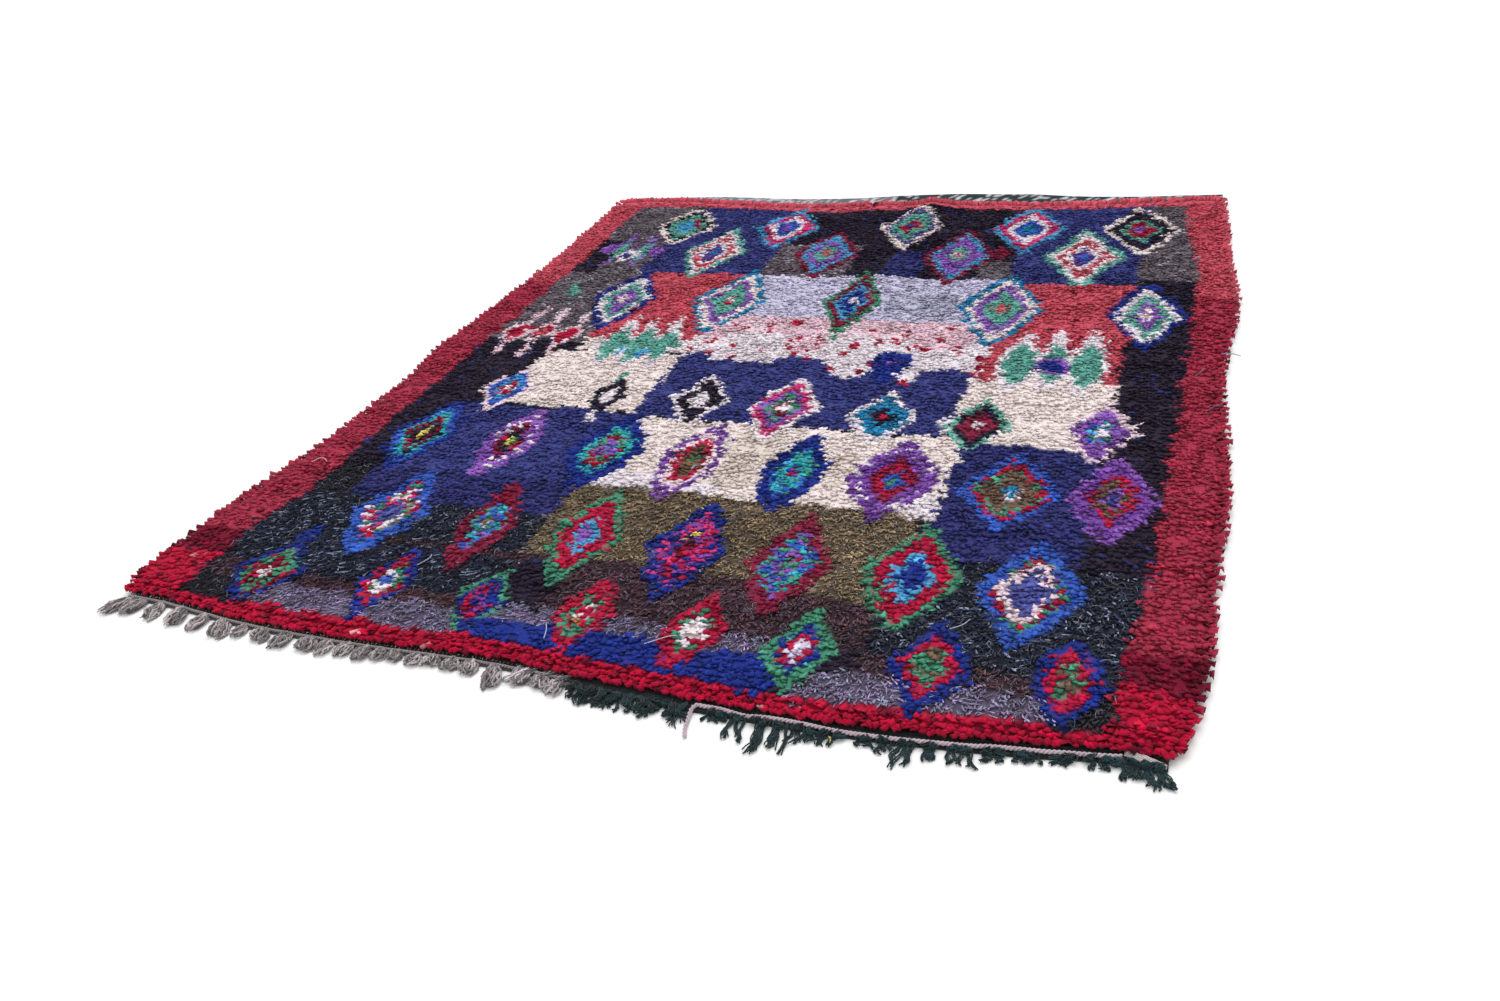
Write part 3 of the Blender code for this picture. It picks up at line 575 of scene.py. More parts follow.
# Edges of the pile, as its solid has them: along is Y on the two sides and X on the two ends
LEFT_EDGE = (
    EdgePoint(-0.925, -0.786),
    EdgePoint(-0.870, -0.808),
    EdgePoint(-0.760, -0.806),
    EdgePoint(-0.600, -0.795),
    EdgePoint(-0.450, -0.776),
    EdgePoint(-0.200, -0.767),
    EdgePoint(0.000, -0.783),
    EdgePoint(0.400, -0.770),
    EdgePoint(0.700, -0.780),
    EdgePoint(0.930, -0.795),
)
RIGHT_EDGE = (
    EdgePoint(-0.925, 0.782),
    EdgePoint(-0.860, 0.798),
    EdgePoint(-0.700, 0.816),
    EdgePoint(-0.600, 0.813),
    EdgePoint(-0.350, 0.824),
    EdgePoint(0.030, 0.808),
    EdgePoint(0.320, 0.824),
    EdgePoint(0.600, 0.805),
    EdgePoint(0.930, 0.786),
)
NEAR_EDGE = (
    EdgePoint(-0.800, -0.907),
    EdgePoint(-0.710, -0.909),
    EdgePoint(-0.520, -0.928),
    EdgePoint(-0.300, -0.931),
    EdgePoint(-0.090, -0.926),
    EdgePoint(0.100, -0.937),
    EdgePoint(0.400, -0.942),
    EdgePoint(0.620, -0.926),
    EdgePoint(0.720, -0.912),
    EdgePoint(0.800, -0.912),
)
FAR_EDGE = (
    EdgePoint(-0.800, 0.925),
    EdgePoint(-0.600, 0.930),
    EdgePoint(-0.450, 0.905),
    EdgePoint(-0.230, 0.880),
    EdgePoint(-0.020, 0.895),
    EdgePoint(0.250, 0.889),
    EdgePoint(0.450, 0.891),
    EdgePoint(0.650, 0.912),
    EdgePoint(0.800, 0.925),
)
FLAT_WOVEN_END = (
    EdgePoint(-0.800, 0.974),
    EdgePoint(-0.500, 0.984),
    EdgePoint(-0.280, 0.962),
    EdgePoint(-0.140, 0.964),
    EdgePoint(0.100, 0.992),
    EdgePoint(0.300, 0.990),
    EdgePoint(0.540, 0.968),
    EdgePoint(0.800, 0.982),
)
RUG_WIDTH = 1.60

# The woven ground and its flat far end
GROUND_HEIGHT = 0.0035
GROUND_COLUMNS = 170
GROUND_ROWS = 32
FLAT_END_ROWS = 9
FLAT_END_WAVE = 0.0007
FLAT_END_CURL = 0.0012
FLAT_END_WAVE_PITCH = 0.05
FLAT_END_CURL_START = -0.40
FAR_END_PARTING = -0.01
FAR_END_GREY = (0.46, 0.45, 0.48)
FAR_END_PALE = (0.80, 0.79, 0.82)
FAR_END_GREEN = (0.11, 0.20, 0.21)
FAR_END_WHITE = (0.85, 0.86, 0.88)
# Darkening of the pile's colours on the woven ground under the pile: painted shade where the ground shows between and
# under the tufts
GROUND_PAINTED_SHADE = 0.45

# The bed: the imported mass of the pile, which its cut ends lie on
BED_COLUMNS = 172
BED_ROWS = 200
BED_DEPTH = 0.0024
BED_UNEVEN = 0.0012
BED_GRAIN = 0.011
# Darkening of the bed's colours: painted shade in the gaps between the cut ends, deeper under fine yarn
BED_PAINTED_SHADE = 0.97
BED_FINE_DEPTH = 0.0026
BED_FINE_PAINTED_SHADE = 0.6
BED_INSET = 0.004

# How the cut ends lean
LEAN_SPREAD = 0.26
LEAN_DRIFT = 0.30
LEAN_DRIFT_PITCH = 0.12
RIM_LEAN = 1.3
RIM_WIDTH = 0.022
RIM_DROP = 0.8
FAR_RIM_RISE = 0.0045
FAR_RIM_LEAN = 3.0
FAR_BED_SHARE = 0.3
RIM_SHORTER = 0.3
TIP_AT_RIM = 0.0025
FLOOR_CLEAR = 0.0004
UNEVEN_TOP = 0.0008

# Rag: a few flat creased strips a knot
LEAVES_EACH_KNOT = 3
LEAF_FAN = 0.28
LEAF_PARTING = 0.0078
LEAF_ROOT_DEPTH = 0.0065
LEAF_TIP_DROP = 0.0010
LEAF_CREST_DROP = 0.0012
LEAF_FORWARD = (0.0, 0.84, 1.0)
LEAF_WIDENS = (0.7, 1.0, 0.0)
LEAF_THICKENS = (1.0, 1.0, 0.0)
LEAF_PROFILE = ((0.5, -0.3), (-0.5, -0.3), (0.05, 0.7))
LEAF_CRUMPLE = 0.0008
LEAF_ROLL = 0.12
RAG_BANDS = 4

# Fine yarn: several thin strands a knot
STRANDS_EACH_KNOT = 5
STRAND_FAN = 0.9
STRAND_SCATTER = 0.0035
YARN_BANDS = 1


# The strips outside the near edge of the pile
GAP = 0.0005
STRIP_PARTING = 0.030
GREY_START = -0.784
GREEN_END = 0.780
GREY_OUT = 0.0180
GREEN_OUT = 0.0220
STRIP_TOP = 0.006
STRIP_STEP = 0.008
# Width of the band by the pile in the strip's inner colour: a painted shadow line under the pile's edge
STRIP_SHADOW_BAND = 0.0100
BRAID_MIDDLE = 0.0145
BRAID_HEIGHT = 0.0055
BRAID_PLY = 0.0014
BRAID_LAY = 0.0012
BRAID_PITCH = 0.010
WARP_END_PITCH = 0.0066
WARP_END_OUT = 0.0052


class Surface(NamedTuple):
    """A mesh as arrays: its points, rows of point numbers as faces, a UV for each corner, a tint for each point."""

    points: np.ndarray
    faces: list
    corners: list
    tints: np.ndarray


class Tassel(NamedTuple):
    """One grey tassel: where its neck leaves the braid, its width, its length and how far its end leans."""

    x: float
    width: float
    length: float
    lean: float


class Thread(NamedTuple):
    """One loose thread: its radius, its colour, and its points as X, Y and height above the pile."""

    radius: float
    tint: tuple
    points: tuple


class Cluster(NamedTuple):
    """One bunch of green strands: where its roots start and end, how many, how long and how far they lean."""

    start: float
    end: float
    strands: int
    length: float
    lean: float


class RoutePoint(NamedTuple):
    """One point of the cord on the strip: its X and its distance outside the pile."""

    x: float
    out: float


GREY_TASSELS = (
    Tassel(-0.7730, 0.030, 0.043, -0.026),
    Tassel(-0.7500, 0.029, 0.037, -0.006),
    Tassel(-0.7100, 0.025, 0.041, 0.000),
    Tassel(-0.6680, 0.034, 0.040, 0.016),
    Tassel(-0.6130, 0.030, 0.036, 0.003),
    Tassel(-0.5720, 0.032, 0.037, 0.012),
    Tassel(-0.5266, 0.020, 0.026, 0.000),
    Tassel(-0.4890, 0.027, 0.026, 0.002),
    Tassel(-0.4440, 0.034, 0.031, 0.002),
    Tassel(-0.3990, 0.029, 0.028, -0.001),
    Tassel(-0.3655, 0.026, 0.029, 0.001),
    Tassel(-0.3320, 0.028, 0.026, 0.000),
    Tassel(-0.3000, 0.025, 0.027, 0.001),
    Tassel(-0.2730, 0.019, 0.021, 0.000),
    Tassel(-0.2476, 0.019, 0.019, 0.001),
    Tassel(-0.2140, 0.021, 0.023, 0.001),
    Tassel(-0.1860, 0.023, 0.019, -0.001),
    Tassel(-0.1550, 0.024, 0.021, 0.001),
    Tassel(-0.1240, 0.022, 0.025, -0.001),
    Tassel(-0.0900, 0.026, 0.042, 0.019),
    Tassel(-0.0400, 0.024, 0.028, 0.006),
    Tassel(-0.0090, 0.024, 0.026, 0.003),
    Tassel(0.0180, 0.019, 0.028, -0.001),
)
TASSEL_HEIGHT = 0.011
TASSEL_STATIONS = 10
TASSEL_YARNS = 20
TASSEL_YARN_RADIUS = 0.0012
TASSEL_CURL = 0.0028
TASSEL_WIDEN = 1.12
TASSEL_TWIST = 1.0
CORE_SHARE = 0.8

GREEN_CLUSTERS = (
    Cluster(0.0360, 0.0740, 7, 0.027, 0.003),
    Cluster(0.0760, 0.1190, 8, 0.030, -0.003),
    Cluster(0.1250, 0.1640, 7, 0.029, 0.004),
    Cluster(0.1680, 0.1830, 3, 0.010, 0.000),
    Cluster(0.1860, 0.2060, 4, 0.033, 0.002),
    Cluster(0.2340, 0.2620, 5, 0.012, 0.001),
    Cluster(0.2680, 0.2920, 5, 0.037, 0.001),
    Cluster(0.2980, 0.3440, 8, 0.050, 0.005),
    Cluster(0.3500, 0.3780, 5, 0.024, 0.002),
    Cluster(0.3840, 0.4120, 5, 0.020, -0.003),
    Cluster(0.4300, 0.4500, 3, 0.012, 0.002),
    Cluster(0.4560, 0.4760, 4, 0.018, -0.001),
    Cluster(0.4810, 0.5020, 4, 0.041, -0.003),
    Cluster(0.5070, 0.5290, 4, 0.024, 0.003),
    Cluster(0.5370, 0.5680, 5, 0.028, 0.004),
    Cluster(0.5780, 0.6020, 4, 0.014, 0.001),
    Cluster(0.6160, 0.6420, 4, 0.012, 0.001),
    Cluster(0.6560, 0.6820, 4, 0.011, -0.001),
    Cluster(0.6940, 0.7160, 4, 0.014, 0.002),
    Cluster(0.7240, 0.7480, 7, 0.024, 0.008),
    Cluster(0.7510, 0.7740, 9, 0.030, 0.016),
)
STRANDS_EACH_ROOT = 5
STRAND_RADIUS = 0.0010
STRAND_STATIONS = 9
STRAND_WAVE = 0.0032
STRAND_BUNCH = 0.0014
TANGLE_YARNS = 4
TANGLE_REACH = 0.011
TANGLE_HEIGHT = 0.0085
TANGLE_BUNCH = 0.013
TANGLE_CURL = 0.0034
LUMPY_END = 0.21
LUMPY_YARNS = 9
FRAY = (-0.008, 0.090, 0.027, 0.0105, 64)

CORD_ROUTE = (
    RoutePoint(0.7300, 0.0150),
    RoutePoint(0.7220, 0.0160),
    RoutePoint(0.7010, 0.0170),
    RoutePoint(0.6730, 0.0160),
    RoutePoint(0.6450, 0.0155),
    RoutePoint(0.6170, 0.0145),
    RoutePoint(0.5840, 0.0150),
    RoutePoint(0.5670, 0.0170),
    RoutePoint(0.5330, 0.0175),
    RoutePoint(0.5050, 0.0180),
    RoutePoint(0.4770, 0.0185),
    RoutePoint(0.4480, 0.0185),
    RoutePoint(0.4040, 0.0180),
    RoutePoint(0.3640, 0.0150),
    RoutePoint(0.3350, 0.0140),
    RoutePoint(0.3080, 0.0150),
    RoutePoint(0.2855, 0.0180),
    RoutePoint(0.2520, 0.0140),
    RoutePoint(0.2300, 0.0145),
)
CORD_RADIUS = 0.0030
CORD_ON_STRIP = 0.0069
CORD_ON_FLOOR = 0.0031
CORD_TAIL = (
    (0.2200, -0.9555, CORD_ON_STRIP),
    (0.2165, -0.9620, CORD_ON_STRIP),
    (0.2160, -0.9700, 0.5 * (CORD_ON_STRIP + CORD_ON_FLOOR)),
    (0.2170, -0.9790, CORD_ON_FLOOR),
    (0.2195, -0.9940, CORD_ON_FLOOR),
    (0.2250, -1.0080, CORD_ON_FLOOR),
)
CORD_PLY = 0.0016
CORD_LAY = 0.0014
CORD_PITCH = 0.011
CORD_STEP = 0.0014

# Hairs on the fine yarn
HAIRS = 1250
HAIR_STATIONS = 5
HAIR_LENGTH = 0.013
HAIR_RISE = 0.0030
HAIR_RADIUS = 0.00035
HAIR_TINT = (0.58, 0.60, 0.68)

# Loose threads that lie on the pile or stick out of its rim
THREADS = (
    Thread(0.0009, (0.55, 0.62, 0.74), ((0.806, 0.098, 0.000), (0.820, 0.100, 0.001), (0.838, 0.101, -0.004))),
    Thread(0.0013, (0.30, 0.27, 0.36), ((0.790, -0.125, 0.001), (0.800, -0.108, 0.003), (0.815, -0.096, 0.000))),
    Thread(0.0008, (0.46, 0.40, 0.46), ((0.766, -0.005, 0.001), (0.774, 0.012, 0.002), (0.780, 0.030, 0.001))),
    Thread(0.0008, (0.86, 0.78, 0.76), ((-0.735, -0.520, 0.001), (-0.722, -0.505, 0.003), (-0.706, -0.512, 0.001))),
    Thread(0.0008, (0.88, 0.86, 0.88), ((0.022, 0.700, 0.001), (0.018, 0.730, 0.004), (0.036, 0.745, 0.001))),
    Thread(0.0007, (0.75, 0.76, 0.84), ((-0.050, -0.858, 0.001), (-0.040, -0.875, 0.003), (-0.036, -0.890, 0.001))),
    Thread(0.0007, (0.78, 0.79, 0.86), ((0.110, -0.872, 0.001), (0.140, -0.850, 0.003), (0.160, -0.846, 0.001))),
    Thread(0.0007, (0.74, 0.75, 0.82), ((0.500, -0.760, 0.001), (0.515, -0.750, 0.003), (0.522, -0.735, 0.001))),
    Thread(0.0007, (0.72, 0.73, 0.82), ((-0.330, -0.770, 0.001), (-0.318, -0.752, 0.003), (-0.322, -0.740, 0.001))),
    Thread(0.0008, (0.86, 0.78, 0.30), ((0.398, -0.968, -0.010), (0.402, -0.974, -0.010), (0.400, -0.983, -0.012))),
)

TAPE_ROOT = (0.7330, -0.9185)
TAPE_TIP = (0.7780, -0.9320)
TAPE_WIDTH = 0.009
TAPE_TIP_WIDTH = 0.003
TAPE_THICKNESS = 0.0012
TAPE_HEIGHT = 0.0041
TAPE_RISE = 0.004


def pile_place(across, away):
    """X and Y of points of the pile, from their shares of the way across and of the way to the far end."""
    x = np.zeros_like(across)
    for _ in range(5):
        y = edge_at(NEAR_EDGE, x) * (1.0 - away) + edge_at(FAR_EDGE, x) * away
        x = edge_at(LEFT_EDGE, y) * (1.0 - across) + edge_at(RIGHT_EDGE, y) * across
    return x, y


def height_over(x, y):
    """Height of the pile's solid over points: its top vertices, weighted by the fourth power of closeness."""
    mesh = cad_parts["pile"].data
    places = np.empty(len(mesh.vertices) * 3, np.float32)
    mesh.vertices.foreach_get("co", places)
    places = np.unique(places.reshape(-1, 3).round(5), axis=0)
    tops = places[places[:, 2] > 0.009]
    heights = np.empty(x.shape)
    for first in range(0, len(x), 2000):
        part = slice(first, first + 2000)
        square = (x[part, None] - tops[:, 0]) ** 2 + (y[part, None] - tops[:, 1]) ** 2
        weights = 1.0 / (square + 1e-4) ** 2
        heights[part] = (weights * tops[:, 2]).sum(axis=1) / weights.sum(axis=1)
    return heights


def unit(vectors):
    return vectors / np.maximum(np.linalg.norm(vectors, axis=-1, keepdims=True), 1e-9)


def swept(centres, widths, heights, profile, roll):
    """Points of a profile at each station of rows of centres, scaled, and square to the way along.

    A point is centre + side * width * across + up * height * high, where side is level and square to the way
    along, up is square to both, and roll turns the two about the way along.
    """
    ways = unit(np.gradient(centres, axis=1))
    sides = unit(np.cross(ways, (0.0, 0.0, 1.0)))
    ups = np.cross(sides, ways)
    turn = np.broadcast_to(np.reshape(roll, (-1, 1, 1)), (*centres.shape[:2], 1))
    sides, ups = sides * np.cos(turn) + ups * np.sin(turn), ups * np.cos(turn) - sides * np.sin(turn)
    profile = np.asarray(profile)
    across = (widths[..., None] * profile[:, 0])[..., None]
    high = (heights[..., None] * profile[:, 1])[..., None]
    return centres[:, :, None] + sides[:, :, None] * across + ups[:, :, None] * high


def lock_faces(first, rings, corners, along, pointed):
    """The faces of closed locks and their UVs: U goes once round a lock, and V is the way along in metres.

    Each lock starts at its first point. A pointed one has a single point after its last ring.
    """
    ring = first[:, None, None] + np.arange(rings - 1)[None, :, None] * corners
    corner = np.arange(corners)[None, None, :]
    after = (corner + 1) % corners
    walls = np.stack([ring + corner, ring + after, ring + corners + after, ring + corners + corner], axis=-1)
    u = np.broadcast_to(corner / corners, walls.shape[:3])
    low = np.broadcast_to(along[:, : rings - 1, None], walls.shape[:3])
    high = np.broadcast_to(along[:, 1:rings, None], walls.shape[:3])
    step = 1.0 / corners
    pairs = ((u, low), (u + step, low), (u + step, high), (u, high))
    wall_uvs = np.stack([np.stack(pair, axis=-1) for pair in pairs], axis=-2)
    root = first[:, None] + np.arange(corners)[::-1]
    last = first[:, None] + (rings - 1) * corners + np.arange(corners)
    if not pointed:
        caps = np.concatenate([root, last])
        cap_uvs = np.zeros((*caps.shape, 2))
        cap_uvs[len(root) :, :, 1] = along[:, -1:]
        return [walls.reshape(-1, 4), caps], [wall_uvs.reshape(-1, 4, 2), cap_uvs]
    tip = np.broadcast_to(first[:, None] + rings * corners, last.shape)
    tips = np.stack([last, np.roll(last, -1, axis=1), tip], axis=-1)
    u = np.broadcast_to(corner[0] / corners, last.shape)
    near = np.broadcast_to(along[:, rings - 1 : rings], last.shape)
    end = np.broadcast_to(along[:, -1:], last.shape)
    pairs = ((u, near), (u + step, near), (u + 0.5 * step, end))
    tip_uvs = np.stack([np.stack(pair, axis=-1) for pair in pairs], axis=-2)
    faces = [walls.reshape(-1, 4), root, tips.reshape(-1, 3)]
    return faces, [wall_uvs.reshape(-1, 4, 2), np.zeros((*root.shape, 2)), tip_uvs.reshape(-1, 3, 2)]


def locks_surface(centres, widths, heights, profile, tints, roll=0.0, crumple=0.0, pointed=False):
    """Closed locks, one a row of centres, with each point moved by its crumple and none below the floor."""
    points = swept(centres, widths, heights, profile, roll) + crumple
    points[..., 2] = np.maximum(points[..., 2], FLOOR_CLEAR)
    locks, stations, corners, _ = points.shape
    points = points.reshape(locks, stations * corners, 3)
    rings = stations - 1 if pointed else stations
    if pointed:
        points = points[:, : rings * corners + 1]
    steps = np.linalg.norm(np.diff(centres, axis=1), axis=2)
    along = np.concatenate([np.zeros((locks, 1)), np.cumsum(steps, axis=1)], axis=1)
    faces, corner_uvs = lock_faces(np.arange(locks) * points.shape[1], rings, corners, along, pointed)
    return Surface(points.reshape(-1, 3), faces, corner_uvs, np.repeat(tints, points.shape[1], axis=0))


def ring_profile(sides):
    """A circle one unit across, as corners that run the same way round as a tuft's."""
    angle = -math.tau * np.arange(sides) / sides
    return np.stack([0.5 * np.cos(angle), 0.5 * np.sin(angle)], axis=-1)


def tubes(centres, radii, sides, tints):
    """Round yarns along rows of centres."""
    across = np.broadcast_to(2.0 * np.asarray(radii), centres.shape[:2])
    return locks_surface(centres, across, across, ring_profile(sides), tints)


def joined(surfaces):
    """Several surfaces as one."""
    points = np.concatenate([surface.points for surface in surfaces])
    tints = np.concatenate([surface.tints for surface in surfaces])
    faces = []
    corners = []
    first = 0
    for surface in surfaces:
        faces += [rows + first for rows in surface.faces]
        corners += surface.corners
        first += len(surface.points)
    return Surface(points, faces, corners, tints)


def linear(colours):
    """sRGB shares as linear light."""
    colours = np.asarray(colours, float)
    return np.where(colours <= 0.04045, colours / 12.92, ((colours + 0.055) / 1.055) ** 2.4)


def mesh_object(name, surface, material, smooth=True):
    """A mesh object at the origin from a surface, with a UV map and a tint for each point."""
    mesh = bpy.data.meshes.new(name)
    totals = np.concatenate([np.full(len(rows), rows.shape[1]) for rows in surface.faces])
    numbers = np.concatenate([rows.ravel() for rows in surface.faces])
    mesh.vertices.add(len(surface.points))
    mesh.vertices.foreach_set("co", surface.points.astype(np.float32).ravel())
    mesh.loops.add(len(numbers))
    mesh.loops.foreach_set("vertex_index", numbers.astype(np.int32))
    mesh.polygons.add(len(totals))
    mesh.polygons.foreach_set("loop_start", np.concatenate([[0], np.cumsum(totals)[:-1]]).astype(np.int32))
    mesh.polygons.foreach_set("use_smooth", np.full(len(totals), smooth))
    mesh.update(calc_edges=True)
    uv_map = mesh.uv_layers.new(name="UVMap")
    uvs = np.concatenate([rows.reshape(-1, 2) for rows in surface.corners])
    uv_map.data.foreach_set("uv", uvs.astype(np.float32).ravel())
    tint = mesh.attributes.new("tint", "FLOAT_COLOR", "POINT")
    colours = np.concatenate([linear(surface.tints), np.ones((len(surface.tints), 1))], axis=1)
    tint.data.foreach_set("color", colours.astype(np.float32).ravel())
    mesh.materials.append(material)
    obj = bpy.data.objects.new(name, mesh)
    bpy.context.scene.collection.objects.link(obj)
    return obj


def place_piece(obj):
    """A finished piece rides on the rug's one body."""
    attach(obj, BODY)
    return obj


def slab_surface(top, low, tints):
    """A closed slab under a grid of top points, with a plain flat underside; its UV is X and Y in metres."""
    rows, columns, _ = top.shape
    number = np.arange(rows * columns).reshape(rows, columns)
    deck = np.stack([number[:-1, :-1], number[:-1, 1:], number[1:, 1:], number[1:, :-1]], axis=-1).reshape(-1, 4)
    rim = np.concatenate([number[0, :-1], number[:-1, -1], number[-1, :0:-1], number[:0:-1, 0]])
    under = top.reshape(-1, 3)[rim]
    under[:, 2] = low
    points = np.concatenate([top.reshape(-1, 3), under])
    foot = rows * columns + np.arange(len(rim))
    walls = np.stack([foot, np.roll(foot, -1), np.roll(rim, -1), rim], axis=-1)
    faces = [np.concatenate([deck, walls]), foot[None, ::-1]]
    tints = np.concatenate([tints, tints[rim]])
    return Surface(points, faces, [points[rows][..., :2] for rows in faces], tints)


def knot_places(size):
    """X and Y of the knots: rows along X, each second row half a pitch aside, all a little off their places."""
    chance = np.random.default_rng(41)
    columns = round(RUG_WIDTH / size.pitch_across)
    rows = round((FAR_EDGE[0].place - NEAR_EDGE[0].place) / size.pitch_along)
    column, row = np.meshgrid(np.arange(columns), np.arange(rows))
    aside = 0.25 + 0.5 * (row % 2) + chance.uniform(-0.16, 0.16, column.shape)
    across = (column + aside) / columns
    away = (row + 0.5 + chance.uniform(-0.10, 0.10, column.shape)) / rows
    return pile_place(across.ravel(), away.ravel())


def rim_shares(x, y):
    """How near points are to the left, right, near and far rim of the pile: 1 at a rim, 0 where its lean ends."""
    distances = (
        x - edge_at(LEFT_EDGE, y),
        edge_at(RIGHT_EDGE, y) - x,
        y - edge_at(NEAR_EDGE, x),
        edge_at(FAR_EDGE, x) - y,
    )
    return [np.clip(1.0 - distance / RIM_WIDTH, 0.0, 1.0) for distance in distances]


def pile_lean(x, y, chance):
    """Level unit vectors in which knots lean, towards -Y or outwards at a rim, and how near each is to a rim."""
    left, right, near, far = rim_shares(x, y)
    turn = LEAN_SPREAD * chance.standard_normal(x.shape)
    turn += LEAN_DRIFT * smooth_noise(x, y, LEAN_DRIFT_PITCH, 43)
    away = FAR_RIM_LEAN * far - RIM_LEAN * near
    lean = np.stack([np.sin(turn) + RIM_LEAN * (right - left), away - np.cos(turn)], axis=-1)
    return unit(lean), np.maximum.reduce([left, right, near])


def fanned(knots, each, fan, parting, chance):
    """Cut ends of knots, several to each: their roots, their leans turned a little, their tops and rim shares."""
    x, y, top = knots
    lean, rim = pile_lean(x, y, chance)
    lean = np.repeat(lean, each, axis=0)
    beside = np.stack([-lean[:, 1], lean[:, 0]], axis=-1)
    place = np.tile(np.linspace(-0.5, 0.5, each), len(x)) + chance.uniform(-0.2, 0.2, len(x) * each)
    roots = np.repeat(np.stack([x, y], axis=-1), each, axis=0) + parting * place[:, None] * beside
    turn = chance.uniform(-fan, fan, len(x) * each)
    turned = lean * np.cos(turn)[:, None] + beside * np.sin(turn)[:, None]
    tops = np.repeat(top, each) + UNEVEN_TOP * chance.standard_normal(len(x) * each)
    return roots, turned, tops, np.repeat(rim, each)


def bent_paths(roots, lean, reach, start, top, tip):
    """Paths that rise from their roots, bend over and go on the way they lean: root, crest and tip."""
    forward = reach[:, None] * np.array(LEAF_FORWARD)
    level = roots[:, None, :] + lean[:, None, :] * forward[..., None]
    return np.concatenate([level, np.stack([start, top, tip], axis=-1)[..., None]], axis=-1)


def end_heights(top, rim, drop):
    """Heights of the roots and of the tips of cut ends; at the rim the tips come down to the floor."""
    start = np.maximum(top - LEAF_ROOT_DEPTH, FLOOR_CLEAR + 0.2 * top)
    tip = top - drop
    return start, tip + (TIP_AT_RIM - tip) * RIM_DROP * rim


def rag_ends(knots, tints, size, chance):
    """Cut ends of rag, a few a knot: flat creased strips with ragged tips that lie over the next row."""
    roots, lean, top, rim = fanned(knots, LEAVES_EACH_KNOT, LEAF_FAN, LEAF_PARTING, chance)
    count = len(roots)
    reach = size.leaf_reach * chance.uniform(0.7, 1.2, count) * (1.0 - RIM_SHORTER * rim)
    start, tip = end_heights(top, rim, LEAF_TIP_DROP * chance.standard_normal(count))
    centres = bent_paths(roots, lean, reach, start, top - LEAF_CREST_DROP, tip)
    widths = size.leaf_width * chance.uniform(0.8, 1.25, (count, 1)) * np.array(LEAF_WIDENS)
    heights = size.leaf_thickness * chance.uniform(0.7, 1.3, (count, 1)) * np.array(LEAF_THICKENS)
    crumple = LEAF_CRUMPLE * chance.standard_normal((count, len(LEAF_FORWARD), len(LEAF_PROFILE), 3))
    roll = LEAF_ROLL * chance.standard_normal(count)
    return locks_surface(centres, widths, heights, LEAF_PROFILE, tints, roll, crumple, pointed=True)


def yarn_ends(knots, tints, size, chance):
    """Cut ends of fine yarn: several thin strands a knot, fanned out over the lean of the pile."""
    roots, lean, top, rim = fanned(knots, STRANDS_EACH_KNOT, STRAND_FAN, size.pitch_across, chance)
    count = len(roots)
    roots = roots + STRAND_SCATTER * chance.standard_normal(roots.shape)
    reach = size.leaf_reach * chance.uniform(0.6, 1.1, count) * (1.0 - RIM_SHORTER * rim)
    start, tip = end_heights(top, rim, LEAF_TIP_DROP * chance.standard_normal(count))
    centres = bent_paths(roots, lean, reach, start, top - LEAF_CREST_DROP, tip)
    across = size.yarn_thickness * chance.uniform(0.75, 1.25, (count, 1)) * np.array(LEAF_THICKENS)
    return locks_surface(centres, across, across, ring_profile(3), tints, pointed=True)


def bed_surface(palette):
    """The pile's bed: a low slab with an uneven top, in the pile's colours darkened as painted shade, that comes down
    round its rim.
    """
    inset = BED_INSET / RUG_WIDTH
    across = np.linspace(inset, 1.0 - inset, BED_COLUMNS + 1)
    away = np.linspace(inset, 1.0 - inset, BED_ROWS + 1)
    column, row = np.meshgrid(across, away)
    x, y = pile_place(column.ravel(), row.ravel())
    left, right, near, far = rim_shares(x, y)
    rim = np.maximum.reduce([left, right, near, FAR_BED_SHARE * far])
    yarns = chart(x, y)
    fine = np.array([yarn.fine for yarn in YARNS.values()])[yarns]
    depth = BED_DEPTH + BED_FINE_DEPTH * fine - BED_UNEVEN * smooth_noise(x, y, BED_GRAIN, 45)
    height = (height_over(x, y) - depth) * (1.0 - 0.45 * rim**2)
    top = np.stack([x, y, height], axis=-1).reshape(*column.shape, 3)
    # The bed's colours are darkened as painted shade between the cut ends, more under fine yarn
    tints = palette[yarns] * np.where(fine, BED_FINE_PAINTED_SHADE, BED_PAINTED_SHADE)[:, None]
    return slab_surface(top, FLOOR_CLEAR, tints)


def smooth_path(points, step):
    """Points at an even step along a smooth curve, a cubic between each two points, through a route's points."""
    points = np.asarray(points, float)
    padded = np.concatenate([points[:1], points, points[-1:]])
    part = np.linspace(0.0, 1.0, 12, endpoint=False)[None, :, None]
    before, here, there, after = (padded[start : len(padded) - 3 + start, None] for start in range(4))
    way = (there - before) * part + (2.0 * before - 5.0 * here + 4.0 * there - after) * part**2
    dense = here + 0.5 * (way + (3.0 * here - before - 3.0 * there + after) * part**3)
    dense = np.concatenate([dense.reshape(-1, 3), points[-1:]])
    lengths = np.concatenate([[0.0], np.cumsum(np.linalg.norm(np.diff(dense, axis=0), axis=1))])
    even = np.linspace(0.0, lengths[-1], max(round(lengths[-1] / step), 2) + 1)
    return np.stack([np.interp(even, lengths, dense[:, axis]) for axis in range(3)], axis=-1)


